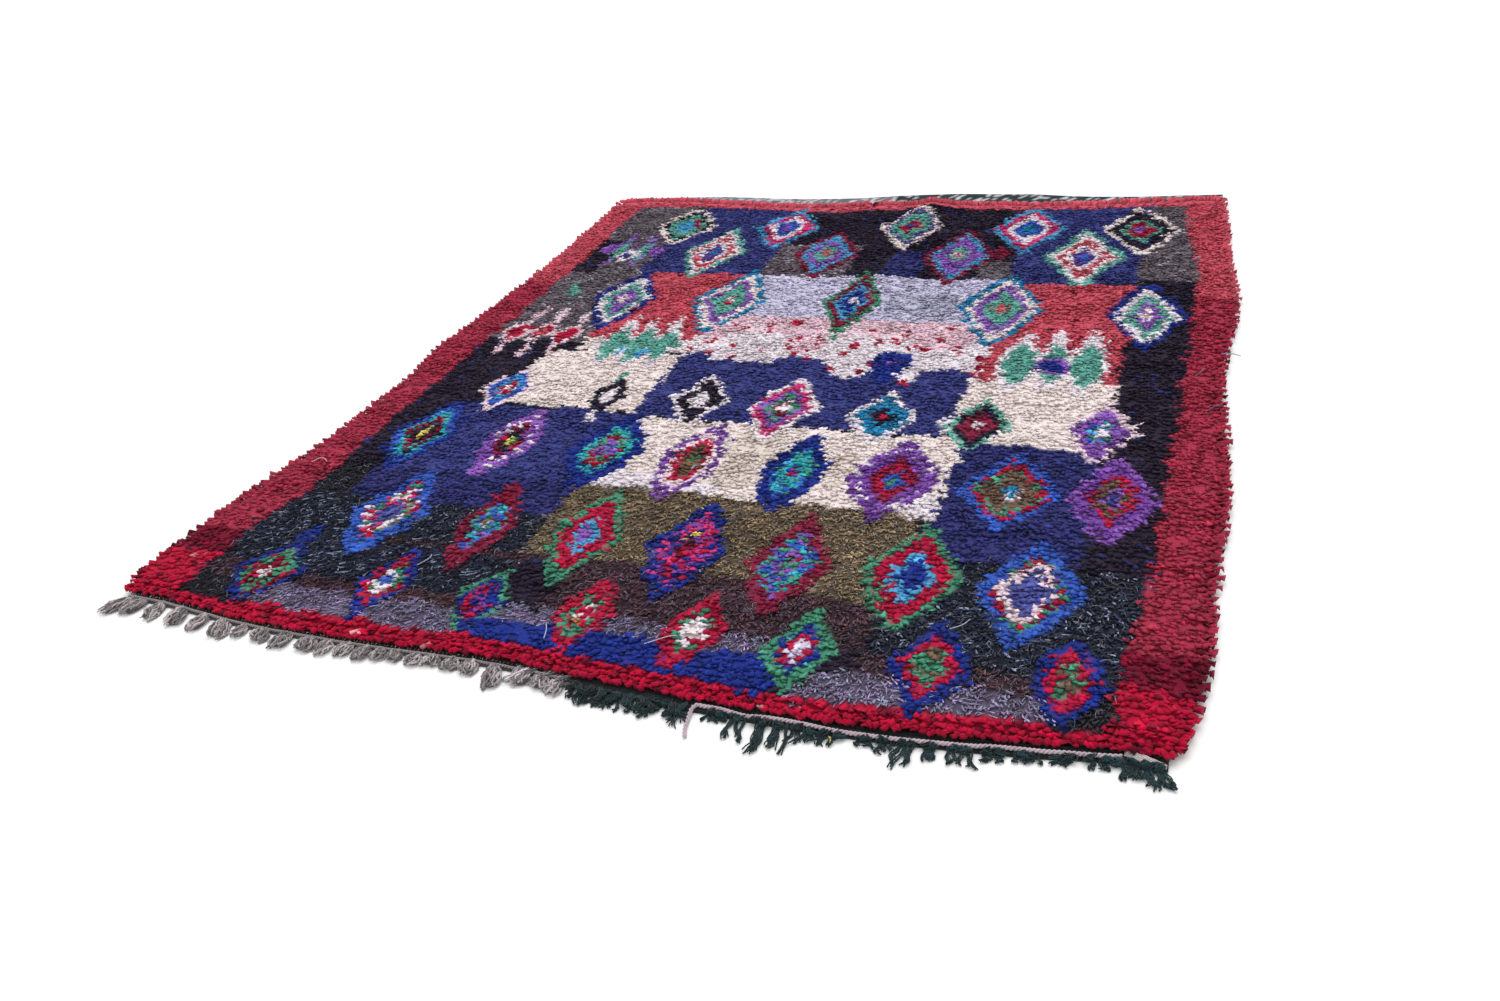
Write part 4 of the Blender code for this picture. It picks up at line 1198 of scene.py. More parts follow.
def rope(route, ply_radius, lay_radius, pitch, sides, tint, chance):
    """Two round plies that wind about a route, half a turn apart."""
    ways = unit(np.gradient(route, axis=0))
    level = unit(np.cross(ways, (0.0, 0.0, 1.0)))
    up = np.cross(level, ways)
    lengths = np.concatenate([[0.0], np.cumsum(np.linalg.norm(np.diff(route, axis=0), axis=1))])
    turn = math.tau * lengths / pitch + 0.35 * smooth_noise(lengths, 0.0 * lengths, 0.03, 51)
    plies = []
    for start in (0.0, math.pi):
        angle = (turn + start)[:, None]
        plies.append(route + lay_radius * (level * np.cos(angle) + up * np.sin(angle)))
    tints = np.tile(tint, (2, 1)) * chance.uniform(0.92, 1.05, (2, 1))
    return tubes(np.stack(plies), ply_radius, sides, tints)


def curls(count, share, turns, chance):
    """Waves along strands: a sine of the share of the way, with each strand's own turns and start."""
    waves = chance.uniform(*turns, (count, 1))
    return np.sin(math.tau * (share * waves + chance.random((count, 1))))


def tassel_yarns(tassel, start_y, chance, tint):
    """A tassel's curled yarns, wound over the upper half of an oval lump, and the plain lump that they lie on,
    darkened as painted shade inside the tassel.

    Round the oval, a yarn stands at its own angle, which turns a little on the way. The oval's width and height
    follow part of a half wave, and each yarn swings about its own line in small curls.
    """
    count = TASSEL_YARNS
    share = np.linspace(0.0, 1.0, TASSEL_STATIONS)
    swell = 0.40 + 0.60 * np.sin(math.pi * 0.76 * share)
    closing = np.where(share > 0.8, 1.0 - 1.2 * (share - 0.8), 1.0)
    angle = math.pi * (np.linspace(0.03, 0.97, count) + chance.uniform(-0.04, 0.04, count))[:, None]
    angle = angle + TASSEL_TWIST * chance.uniform(-1.0, 1.0) * share
    ends = chance.uniform(0.78, 1.12, (count, 1))
    curl = TASSEL_CURL * share * curls(count, share, (1.0, 3.2), chance)
    lift = TASSEL_CURL * curls(count, share, (1.0, 3.2), chance)
    lag = TASSEL_CURL * curls(count, share, (1.5, 3.5), chance)
    half_width = 0.5 * TASSEL_WIDEN * chance.uniform(0.85, 1.15) * tassel.width * swell * closing
    high = (TASSEL_HEIGHT - 2.0 * TASSEL_YARN_RADIUS) * swell * closing
    x = tassel.x + tassel.lean * share + half_width * np.cos(angle) + curl
    y = start_y - tassel.length * share * ends + lag
    z = TASSEL_YARN_RADIUS + np.maximum(high * np.abs(np.sin(angle)) + 0.6 * lift, 0.0)
    radii = TASSEL_YARN_RADIUS * chance.uniform(0.7, 1.35, (count, 1))
    yarns = tubes(np.stack([x, y, z], axis=-1), radii, 5, tint * chance.uniform(0.62, 1.22, (count, 1)))
    line = np.stack([tassel.x + tassel.lean * share, start_y - tassel.length * share * 0.94, 0.0 * share], axis=-1)
    lump_high = CORE_SHARE * (high + 2.0 * TASSEL_YARN_RADIUS)
    line[:, 2] = 0.5 * lump_high + FLOOR_CLEAR
    widths = 2.0 * CORE_SHARE * half_width
    # The lump is the tassel's grey darkened: painted shade inside the tassel
    lump = locks_surface(line[None], widths[None], lump_high[None], ring_profile(10), 0.45 * tint[None])
    return [yarns, lump]


def near_outside(x, out):
    """Y of points at a distance outside the near edge of the pile."""
    return edge_at(NEAR_EDGE, x) - out


def strip_surface(start, end, out, outer, shaded_inner):
    """A flat woven strip along the near edge of the pile, one colour outside and another by the pile, which is
    painted shade under the pile's edge.
    """
    xs = np.linspace(start, end, round((end - start) / STRIP_STEP) + 1)
    outs = np.concatenate([np.linspace(out, STRIP_SHADOW_BAND, 4), np.linspace(STRIP_SHADOW_BAND - 0.0005, GAP, 3)])
    x, away = np.meshgrid(xs, outs)
    height = GROUND_HEIGHT - 0.0002 + 0.0002 * smooth_noise(x, away, 0.012, 61)
    top = np.stack([x, near_outside(x, away), height], axis=-1)
    tints = np.where(away.reshape(-1, 1) < STRIP_SHADOW_BAND, shaded_inner, outer)
    return slab_surface(top, 0.0, tints)


def warp_ends(start, end, tint, chance):
    """A row of short warp ends that stick up between the pile and the braid."""
    x = np.arange(start, end, WARP_END_PITCH)
    x = x + chance.uniform(-0.0015, 0.0015, len(x))
    share = np.linspace(0.0, 1.0, 4)
    across = x[:, None] + 0.0010 * curls(len(x), share, (0.2, 0.8), chance)
    along = near_outside(x, WARP_END_OUT)[:, None] - 0.0035 * share
    z = GROUND_HEIGHT + 0.0022 * np.sin(math.pi * (0.15 + 0.75 * share))
    centres = np.stack([across, along, np.broadcast_to(z, across.shape)], axis=-1)
    return tubes(centres, 0.0007 * chance.uniform(0.6, 1.2, (len(x), 1)), 4, tint * chance.uniform(0.6, 1.1, (len(x), 1)))


def strand_paths(cluster, chance):
    """Wavy paths of a cluster's strands, a few to each root, that come down from the strip and lie on the floor.

    The strands of a root share its waves and its length, with a small difference each.
    """
    share = np.linspace(0.0, 1.0, STRAND_STATIONS)
    roots = cluster.strands
    each = STRANDS_EACH_ROOT
    count = roots * each

    def shared(values):
        return np.repeat(values, each, axis=0)

    width = cluster.end - cluster.start
    x = shared(cluster.start + width * (np.arange(roots) + chance.uniform(0.0, 1.0, roots)) / roots)[:, None]
    x = x + STRAND_BUNCH * chance.standard_normal((count, 1))
    length = cluster.length * shared(chance.uniform(0.65, 1.05, (roots, 1))) * chance.uniform(0.85, 1.08, (count, 1))
    sway = STRAND_WAVE * share * shared(curls(roots, share, (0.6, 1.8), chance))
    sway = sway + 0.35 * STRAND_WAVE * share * curls(count, share, (0.8, 2.4), chance)
    fan = shared(chance.normal(0.0, 0.16, (roots, 1))) + chance.normal(0.0, 0.06, (count, 1))
    across = x + (cluster.lean + fan * length) * share + sway
    along = near_outside(x, GREEN_OUT - 0.004) - (length + 0.004) * share
    lift = 0.0016 * share * (1.0 + curls(count, share, (0.6, 1.6), chance))
    z = STRAND_RADIUS + FLOOR_CLEAR + (STRIP_TOP - STRAND_RADIUS) * np.exp(-5.0 * share) + lift
    return np.stack([across, along, z], axis=-1)


def tangle(lump, out, radius, tint, chance):
    """Curly yarn ends in a lump by the strip's outer edge, in bunches that go out, swing aside and come back.

    The lump has its middle, width, reach, height and number of yarns. The yarns of a bunch share their curls.
    """
    middle, width, reach, height, count = lump
    share = np.linspace(0.0, 1.0, STRAND_STATIONS)
    bunches = max(2, round(width / TANGLE_BUNCH))
    bunch = chance.integers(0, bunches, count)

    def shared(low, high):
        return chance.uniform(low, high, (bunches, 1))[bunch]

    curl = TANGLE_CURL * curls(bunches, share, (0.7, 1.9), chance)[bunch]
    x = middle + width * ((bunch[:, None] + 0.5) / bunches - 0.5) + 0.0022 * chance.standard_normal((count, 1))
    outward = reach * shared(0.6, 1.1) * chance.uniform(0.8, 1.1, (count, 1))
    outward = outward * np.sin(math.pi * share * shared(0.5, 0.9))
    across = x + 0.35 * width * shared(-1.0, 1.0) * share + curl + 0.0010 * curls(count, share, (1.0, 2.6), chance)
    along = near_outside(x, out) - outward + 0.4 * curl + 0.0010 * curls(count, share, (1.0, 2.6), chance)
    lift = height * chance.uniform(0.25, 1.0, (count, 1)) * np.sin(math.pi * (0.25 + 0.70 * share))
    z = radius + FLOOR_CLEAR + np.maximum(lift + 0.0008 * curls(count, share, (1.0, 2.6), chance), 0.0)
    shade = shared(0.65, 1.3) * chance.uniform(0.85, 1.15, (count, 1))
    return tubes(np.stack([across, along, z], axis=-1), radius, 3, tint * shade)


def far_end_tints(x, y, chance):
    """Colours of the flat far end: grey with pale flecks on the left, dark green with white flecks on the right."""
    left = x[:, None] < FAR_END_PARTING
    ground = np.where(left, FAR_END_GREY, FAR_END_GREEN)
    fleck = np.where(left, FAR_END_PALE, FAR_END_WHITE)
    share = np.where(left, 0.42, 0.15)
    tints = np.where(chance.random((len(x), 1)) < share, fleck, ground)
    return tints * (1.0 + 0.15 * smooth_noise(x, y, 0.02, 77)[:, None])


def hairs(count, chance):
    """Pale hairs that lie in small arcs on the fine yarn.

    From its root a hair goes a share of its length along its way and swings aside by a half sine wave, and its
    height over the pile is a smaller half wave.
    """
    x = chance.uniform(-0.70, 0.74, count)
    y = chance.uniform(-0.92, -0.50, count)
    fine = np.array([yarn.fine for yarn in YARNS.values()])[chart(x, y)]
    x = x[fine, None]
    y = y[fine, None]
    share = np.linspace(0.0, 1.0, HAIR_STATIONS)
    turn = chance.uniform(0.0, math.tau, x.shape)
    length = HAIR_LENGTH * chance.uniform(0.5, 1.3, x.shape)
    ahead = length * (share - 0.5)
    aside = 0.5 * length * chance.uniform(-1.0, 1.0, x.shape) * np.sin(math.pi * share)
    across = x + np.cos(turn) * ahead - np.sin(turn) * aside
    along = y + np.sin(turn) * ahead + np.cos(turn) * aside
    rise = HAIR_RADIUS + HAIR_RISE * chance.uniform(0.3, 1.0, x.shape) * np.sin(math.pi * share)
    pile_top = height_over(across.ravel(), along.ravel()).reshape(across.shape)
    centres = np.stack([across, along, pile_top + rise], axis=-1)
    return tubes(centres, HAIR_RADIUS, 3, np.array(HAIR_TINT) * chance.uniform(0.7, 1.15, x.shape))


def thread_surfaces(table, floor_of):
    """Loose threads: thin tubes along smooth curves through their points, which stand above the pile."""
    parts = []
    for thread in table:
        points = np.array([(point[0], point[1], point[2]) for point in thread.points])
        points[:, 2] += floor_of(points[:, 0], points[:, 1])
        route = smooth_path(points, 0.003)[None]
        parts.append(tubes(route, thread.radius, 5, np.array([thread.tint])))
    return joined(parts)


# Materials


def new_group(name, inputs, outputs):
    """A shader node group with named sockets, and its input and output nodes."""
    group = bpy.data.node_groups.new(name, "ShaderNodeTree")
    for label, kind, value in inputs:
        socket = group.interface.new_socket(name=label, in_out="INPUT", socket_type=kind)
        if value is not None:
            socket.default_value = value
    for label, kind in outputs:
        group.interface.new_socket(name=label, in_out="OUTPUT", socket_type=kind)
    return group, group.nodes.new("NodeGroupInput"), group.nodes.new("NodeGroupOutput")


def math_node(tree, operation, first, second, clamp=False):
    """A Math node whose inputs are sockets or numbers."""
    node = tree.nodes.new("ShaderNodeMath")
    node.operation = operation
    node.use_clamp = clamp
    for socket, value in zip(node.inputs, (first, second)):
        if isinstance(value, bpy.types.NodeSocket):
            tree.links.new(value, socket)
        else:
            socket.default_value = value
    return node.outputs[0]


def noise_node(tree, vector, scale, detail=2.0, roughness=0.55):
    node = tree.nodes.new("ShaderNodeTexNoise")
    tree.links.new(vector, node.inputs["Vector"])
    if isinstance(scale, bpy.types.NodeSocket):
        tree.links.new(scale, node.inputs["Scale"])
    else:
        node.inputs["Scale"].default_value = scale
    node.inputs["Detail"].default_value = detail
    node.inputs["Roughness"].default_value = roughness
    return node.outputs["Fac"]


def mottle_group():
    """Colour that is lighter and darker in two sizes of blotch over a tint."""
    group, inside, out = new_group(
        "Dyed mottle",
        [("Tint", "NodeSocketColor", None), ("Vector", "NodeSocketVector", None), ("Amount", "NodeSocketFloat", 0.3)],
        [("Colour", "NodeSocketColor")],
    )
    small = noise_node(group, inside.outputs["Vector"], 420.0, 3.0)
    wide = noise_node(group, inside.outputs["Vector"], 28.0, 2.0)
    both = math_node(group, "ADD", small, wide)
    centred = math_node(group, "SUBTRACT", both, 1.0)
    shade = math_node(group, "MULTIPLY_ADD", centred, inside.outputs["Amount"])
    group.nodes[-1].inputs[2].default_value = 1.0
    scale = group.nodes.new("ShaderNodeVectorMath")
    scale.operation = "SCALE"
    group.links.new(inside.outputs["Tint"], scale.inputs[0])
    group.links.new(shade, scale.inputs["Scale"])
    group.links.new(scale.outputs[0], out.inputs["Colour"])
    return group


def crumple_group():
    """Height of crumpled rag: creases that run along the strip, broader folds, and a fine knit."""
    group, inside, out = new_group(
        "Crumpled rag",
        [("UV", "NodeSocketVector", None), ("Vector", "NodeSocketVector", None)],
        [("Height", "NodeSocketFloat")],
    )
    apart = group.nodes.new("ShaderNodeVectorMath")
    apart.operation = "SCALE"
    group.links.new(inside.outputs["Vector"], apart.inputs[0])
    apart.inputs["Scale"].default_value = 90.0
    stretch = group.nodes.new("ShaderNodeVectorMath")
    stretch.operation = "MULTIPLY_ADD"
    group.links.new(inside.outputs["UV"], stretch.inputs[0])
    stretch.inputs[1].default_value = (9.0, 0.0, 0.0)
    group.links.new(apart.outputs[0], stretch.inputs[2])
    creases = noise_node(group, stretch.outputs[0], 1.0, 2.0, 0.6)
    folds = noise_node(group, inside.outputs["Vector"], 240.0, 3.0, 0.6)
    knit = noise_node(group, inside.outputs["Vector"], 1300.0, 1.0)
    fine = math_node(group, "MULTIPLY", knit, 0.2)
    rough = math_node(group, "ADD", folds, fine)
    group.links.new(math_node(group, "ADD", creases, rough), out.inputs["Height"])
    return group


def twist_group():
    """Height of a plied yarn: slanting ridges round it, from a UV that goes once round and along in metres."""
    group, inside, out = new_group(
        "Yarn twist",
        [("UV", "NodeSocketVector", None), ("Turns", "NodeSocketFloat", 2.0), ("Pitch", "NodeSocketFloat", 0.006)],
        [("Height", "NodeSocketFloat")],
    )
    parts = group.nodes.new("ShaderNodeSeparateXYZ")
    group.links.new(inside.outputs["UV"], parts.inputs[0])
    round_it = math_node(group, "MULTIPLY", parts.outputs["X"], inside.outputs["Turns"])
    along = math_node(group, "DIVIDE", parts.outputs["Y"], inside.outputs["Pitch"])
    phase = math_node(group, "MULTIPLY", math_node(group, "ADD", round_it, along), math.tau)
    wave = math_node(group, "SINE", phase, 0.0)
    group.links.new(math_node(group, "MULTIPLY_ADD", wave, 0.5), out.inputs["Height"])
    group.nodes[-1].inputs[2].default_value = 0.5
    return group


def weave_group():
    """Height of a plain weave: rounded ribs each way that pass over and under by turns."""
    group, inside, out = new_group(
        "Plain weave",
        [("UV", "NodeSocketVector", None), ("Rib", "NodeSocketFloat", 0.004), ("Weft", "NodeSocketFloat", 0.002)],
        [("Height", "NodeSocketFloat")],
    )
    parts = group.nodes.new("ShaderNodeSeparateXYZ")
    group.links.new(inside.outputs["UV"], parts.inputs[0])
    across = math_node(group, "DIVIDE", parts.outputs["X"], inside.outputs["Rib"])
    along = math_node(group, "DIVIDE", parts.outputs["Y"], inside.outputs["Weft"])
    first = math_node(group, "SINE", math_node(group, "MULTIPLY", across, math.tau), 0.0)
    second = math_node(group, "SINE", math_node(group, "MULTIPLY", along, math.tau), 0.0)
    group.links.new(math_node(group, "MULTIPLY", first, second), out.inputs["Height"])
    return group


def yarn_material(name, height_group, distance, mottle=0.3, roughness=0.92, sheen=0.25):
    """A matte fibre finish: the tint with a mottle over it, and a bump from a group's height."""
    material = bpy.data.materials.new(name)
    material.use_nodes = True
    tree = material.node_tree
    shader = tree.nodes["Principled BSDF"]
    shader.inputs["Roughness"].default_value = roughness
    shader.inputs["Specular IOR Level"].default_value = 0.15
    shader.inputs["Sheen Weight"].default_value = sheen
    shader.inputs["Sheen Roughness"].default_value = 0.6
    places = tree.nodes.new("ShaderNodeTexCoord")
    tint = tree.nodes.new("ShaderNodeAttribute")
    tint.attribute_name = "tint"
    dye = tree.nodes.new("ShaderNodeGroup")
    dye.node_tree = bpy.data.node_groups["Dyed mottle"]
    dye.inputs["Amount"].default_value = mottle
    tree.links.new(tint.outputs["Color"], dye.inputs["Tint"])
    tree.links.new(places.outputs["Object"], dye.inputs["Vector"])
    tree.links.new(dye.outputs["Colour"], shader.inputs["Base Color"])
    relief = tree.nodes.new("ShaderNodeGroup")
    relief.node_tree = bpy.data.node_groups[height_group]
    for name, output in (("UV", "UV"), ("Vector", "Object")):
        if name in relief.inputs:
            tree.links.new(places.outputs[output], relief.inputs[name])
    bump = tree.nodes.new("ShaderNodeBump")
    bump.inputs["Distance"].default_value = distance
    bump.inputs["Strength"].default_value = 0.8
    tree.links.new(relief.outputs["Height"], bump.inputs["Height"])
    tree.links.new(bump.outputs["Normal"], shader.inputs["Normal"])
    return material


def finish_for(name):
    """The material of that name, made the first time that a piece needs it."""
    if "Dyed mottle" not in bpy.data.node_groups:
        mottle_group()
        crumple_group()
        twist_group()
        weave_group()
    if name in bpy.data.materials:
        return bpy.data.materials[name]
    if name == "rag pile":
        return yarn_material(name, "Crumpled rag", 0.0007, 0.35, 0.92, 0.04)
    if name == "yarn pile":
        return yarn_material(name, "Yarn twist", 0.0005, 0.45, 0.95, 0.15)
    if name == "fringe yarn":
        return yarn_material(name, "Yarn twist", 0.0005, 0.45, 0.95, 0.15)
    if name == "flat weave":
        return yarn_material(name, "Plain weave", 0.0008, 0.5, 0.95, 0.05)
    raise ValueError(name)


class PaletteSettings(PropertyGroup):
    """Colours of the pile's rags and yarns."""

    __annotations__ = {
        name: FloatVectorProperty(
            name=name.title(),
            description=f"Colour of the {name} pile",
            default=(yarn.red, yarn.green, yarn.blue),
            min=0.0,
            max=1.0,
            subtype="COLOR_GAMMA",
        )
        for name, yarn in YARNS.items()
    }


class PileSettings(PropertyGroup):
    """Sizes of the knotted pile."""

    pitch_across: FloatProperty(
        name="Knot pitch across",
        description="Distance from knot to knot along a row",
        default=0.0118,
        min=0.008,
        subtype="DISTANCE",
    )
    pitch_along: FloatProperty(
        name="Row pitch",
        description="Distance from one row of knots to the next",
        default=0.0108,
        min=0.008,
        subtype="DISTANCE",
    )
    leaf_reach: FloatProperty(
        name="Reach",
        description="How far a cut end lies over from its root",
        default=0.0180,
        min=0.004,
        subtype="DISTANCE",
    )
    leaf_width: FloatProperty(
        name="Rag width",
        description="Width of a cut end of rag",
        default=0.0112,
        min=0.003,
        subtype="DISTANCE",
    )
    leaf_thickness: FloatProperty(
        name="Rag thickness",
        description="Thickness of a cut end of rag with its crease",
        default=0.0026,
        min=0.001,
        subtype="DISTANCE",
    )
    yarn_thickness: FloatProperty(
        name="Yarn thickness",
        description="Thickness of a fine yarn of the pile",
        default=0.0026,
        min=0.001,
        subtype="DISTANCE",
    )


class FringeSettings(PropertyGroup):
    """Colours of what finishes the near end."""

    grey: FloatVectorProperty(
        name="Grey yarn",
        description="Colour of the grey braid and tassels",
        default=(0.68, 0.64, 0.65),
        min=0.0,
        max=1.0,
        subtype="COLOR_GAMMA",
    )
    green: FloatVectorProperty(
        name="Green yarn",
        description="Colour of the dark green strands",
        default=(0.08, 0.19, 0.21),
        min=0.0,
        max=1.0,
        subtype="COLOR_GAMMA",
    )
    frayed: FloatVectorProperty(
        name="Frayed yarn",
        description="Colour of the pale frayed yarn where the braid ends",
        default=(0.78, 0.75, 0.78),
        min=0.0,
        max=1.0,
        subtype="COLOR_GAMMA",
    )
    warp: FloatVectorProperty(
        name="Warp ends",
        description="Colour of the short warp ends beside the braid",
        default=(0.74, 0.67, 0.60),
        min=0.0,
        max=1.0,
        subtype="COLOR_GAMMA",
    )
    cord: FloatVectorProperty(
        name="Cord",
        description="Colour of the pale cord",
        default=(0.74, 0.67, 0.70),
        min=0.0,
        max=1.0,
        subtype="COLOR_GAMMA",
    )
    tape: FloatVectorProperty(
        name="Tape",
        description="Colour of the pale tape at the corner",
        default=(0.82, 0.78, 0.78),
        min=0.0,
        max=1.0,
        subtype="COLOR_GAMMA",
    )
    # The strip's own dark green, made darker still as painted shade under the pile's overhang
    strip: FloatVectorProperty(
        name="Dark strip",
        description="Colour of the flat strip under the cord",
        default=(0.09, 0.11, 0.12),
        min=0.0,
        max=1.0,
        subtype="COLOR_GAMMA",
    )


class StageSettings(PropertyGroup):
    """The floor, the light and the camera."""

    camera_place: FloatVectorProperty(
        name="Camera place",
        description="Where the camera stands",
        default=(0.77412122, -1.90983496, 0.98351391),
        subtype="XYZ",
        unit="LENGTH",
    )
    camera_turn: FloatVectorProperty(
        name="Camera turn",
        description="How the camera is turned about X, Y and Z",
        default=tuple(math.radians(angle) for angle in (57.70800221, 7.03533346, 20.3174872)),
        subtype="EULER",
        unit="ROTATION",
    )
    lens: FloatProperty(
        name="Lens",
        description="Focal length on a sensor 36 mm wide",
        default=27.585763,
        subtype="DISTANCE_CAMERA",
    )
    sky: FloatProperty(
        name="Sky light",
        description="Strength of the even white light from all round",
        default=0.85,
        min=0.0,
    )
    sun: FloatProperty(
        name="Key light",
        description="Strength of the wide soft light from above",
        default=1.2,
        min=0.0,
    )
    floor_size: FloatProperty(
        name="Floor size",
        description="Side of the pale floor",
        default=24.0,
        min=4.0,
        subtype="DISTANCE",
    )


class RUG_OT_stage(Operator):
    """Make the pale floor, the soft light and the camera"""

    bl_idname = "rug.stage"
    bl_label = "Stage"

    def execute(self, context):
        settings = context.scene.rug_stage
        scene = context.scene
        scene.view_settings.view_transform = "Standard"
        camera_data = bpy.data.cameras.new("Camera")
        camera_data.lens = settings.lens
        camera_data.clip_start = 0.02
        camera = bpy.data.objects.new("Camera", camera_data)
        camera.location = settings.camera_place
        camera.rotation_euler = settings.camera_turn
        scene.collection.objects.link(camera)
        scene.camera = camera
        half = 0.5 * settings.floor_size
        mesh = bpy.data.meshes.new("Floor")
        mesh.from_pydata([(-half, -half, 0), (half, -half, 0), (half, half, 0), (-half, half, 0)], [], [(0, 1, 2, 3)])
        material = bpy.data.materials.new("pale floor")
        material.use_nodes = True
        shader = material.node_tree.nodes["Principled BSDF"]
        shader.inputs["Base Color"].default_value = (0.98, 0.98, 0.98, 1.0)
        shader.inputs["Roughness"].default_value = 0.9
        shader.inputs["Specular IOR Level"].default_value = 0.1
        mesh.materials.append(material)
        floor = bpy.data.objects.new("Floor", mesh)
        floor.location.z = -0.0002
        scene.collection.objects.link(floor)
        world = bpy.data.worlds.new("Soft room")
        world.use_nodes = True
        world.node_tree.nodes["Background"].inputs["Color"].default_value = (1.0, 1.0, 1.0, 1.0)
        world.node_tree.nodes["Background"].inputs["Strength"].default_value = settings.sky
        scene.world = world
        light = bpy.data.lights.new("Key", "SUN")
        light.energy = settings.sun
        light.angle = math.radians(50.0)
        key = bpy.data.objects.new("Key", light)
        key.rotation_euler = (math.radians(-26.0), math.radians(-4.0), 0.0)
        scene.collection.objects.link(key)
        return {"FINISHED"}


def palette_of(context):
    """The palette's colours as an array, in the order of the yarns."""
    palette = context.scene.rug_palette
    return np.array([tuple(getattr(palette, name)) for name in YARNS])


class RUG_OT_pile_bed(Operator):
    """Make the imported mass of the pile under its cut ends"""

    bl_idname = "rug.pile_bed"
    bl_label = "Pile bed"

    def execute(self, context):
        place_piece(mesh_object("pile_bed", bed_surface(palette_of(context)), finish_for("rag pile")))
        return {"FINISHED"}


class RUG_OT_pile(Operator):
    """Make the cut ends of rag and fine yarn in the charted colours"""

    bl_idname = "rug.pile"
    bl_label = "Cut ends"

    def execute(self, context):
        size = context.scene.rug_pile
        palette = palette_of(context)
        x, y = knot_places(size)
        chance = np.random.default_rng(17)
        yarns = chart(x, y - 0.5 * size.leaf_reach)
        fine = np.array([yarn.fine for yarn in YARNS.values()])[yarns]
        top = height_over(x, y) + FAR_RIM_RISE * rim_shares(x, y)[3]
        kinds = (
            ("rag", ~fine, RAG_BANDS, LEAVES_EACH_KNOT, rag_ends),
            ("yarn", fine, YARN_BANDS, STRANDS_EACH_KNOT, yarn_ends),
        )
        for kind, chosen, bands, each, make in kinds:
            for band, part in enumerate(np.array_split(np.flatnonzero(chosen), bands)):
                tints = knot_colours(yarns[part], palette, each, chance)
                surface = make((x[part], y[part], top[part]), tints, size, chance)
                obj = mesh_object(f"pile_{kind}_{band + 1}", surface, finish_for(f"{kind} pile"))
                place_piece(obj)
        return {"FINISHED"}


class RUG_OT_ground(Operator):
    """Make the woven ground under the pile and its flat-woven far end"""

    bl_idname = "rug.ground"
    bl_label = "Woven ground"

    def execute(self, context):
        rows = GROUND_ROWS + FLAT_END_ROWS
        column, row = np.meshgrid(np.arange(GROUND_COLUMNS + 1), np.arange(rows + 1))
        away = np.minimum(row / GROUND_ROWS, 1.0)
        x, y = pile_place((column / GROUND_COLUMNS).ravel(), away.ravel())
        beyond = np.clip((row.ravel() - GROUND_ROWS) / FLAT_END_ROWS, 0.0, 1.0)
        y = y + (edge_at(FLAT_WOVEN_END, x) - y) * beyond
        curl = FLAT_END_CURL * np.clip((x - FLAT_END_CURL_START) / 0.1, 0.0, 1.0) * beyond**2
        wave = FLAT_END_WAVE * (1.0 + smooth_noise(x, y, FLAT_END_WAVE_PITCH, 75)) * beyond
        wave = wave + curl * (0.6 + 0.4 * smooth_noise(x, 0.0 * x, FLAT_END_WAVE_PITCH, 76))
        top = np.stack([x, y, GROUND_HEIGHT + wave], axis=-1).reshape(*row.shape, 3)
        palette = palette_of(context)
        chance = np.random.default_rng(19)
        # The pile's colours, darkened as painted shade on the ground under the pile
        tints = GROUND_PAINTED_SHADE * palette[chart(x, y)]
        flat = beyond > 0.0
        tints[flat] = far_end_tints(x[flat], y[flat], chance)
        obj = mesh_object("ground", slab_surface(top, 0.0, tints), finish_for("flat weave"))
        place_piece(obj)
        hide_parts("pile")
        return {"FINISHED"}


class RUG_OT_grey_fringe(Operator):
    """Make the grey strip, its braid and its curly tassels"""

    bl_idname = "rug.grey_fringe"
    bl_label = "Grey tassels"

    def execute(self, context):
        chance = np.random.default_rng(29)
        settings = context.scene.rug_fringe
        tint = np.array(tuple(settings.grey))
        strip = np.array(tuple(settings.strip))
        # By the pile the grey strip takes the dark strip colour: a painted shadow line under the pile's edge
        parts = [strip_surface(GREY_START, STRIP_PARTING - GAP, GREY_OUT, 0.4 * tint, strip)]
        parts.append(warp_ends(GREY_START, STRIP_PARTING, np.array(tuple(settings.warp)), chance))
        xs = np.arange(GREY_START, STRIP_PARTING - GAP, 0.0022)
        height = BRAID_HEIGHT + 0.0006 * smooth_noise(xs, 0.0 * xs, 0.02, 63)
        route = np.stack([xs, near_outside(xs, BRAID_MIDDLE), height], axis=-1)
        # The braid is the tassels' grey darkened a little: painted shade under the pile's edge
        parts.append(rope(route, BRAID_PLY, BRAID_LAY, BRAID_PITCH, 6, 0.85 * tint, chance))
        for tassel in GREY_TASSELS:
            start_y = float(near_outside(np.array([tassel.x]), GREY_OUT - 0.0045)[0])
            parts += tassel_yarns(tassel, start_y, chance, tint * chance.uniform(0.88, 1.08))
        parts.append(tangle(FRAY, GREY_OUT - 0.010, 0.0008, np.array(tuple(settings.frayed)), chance))
        obj = mesh_object("grey_fringe", joined(parts), finish_for("fringe yarn"))
        place_piece(obj)
        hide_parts("fringe_grey")
        return {"FINISHED"}


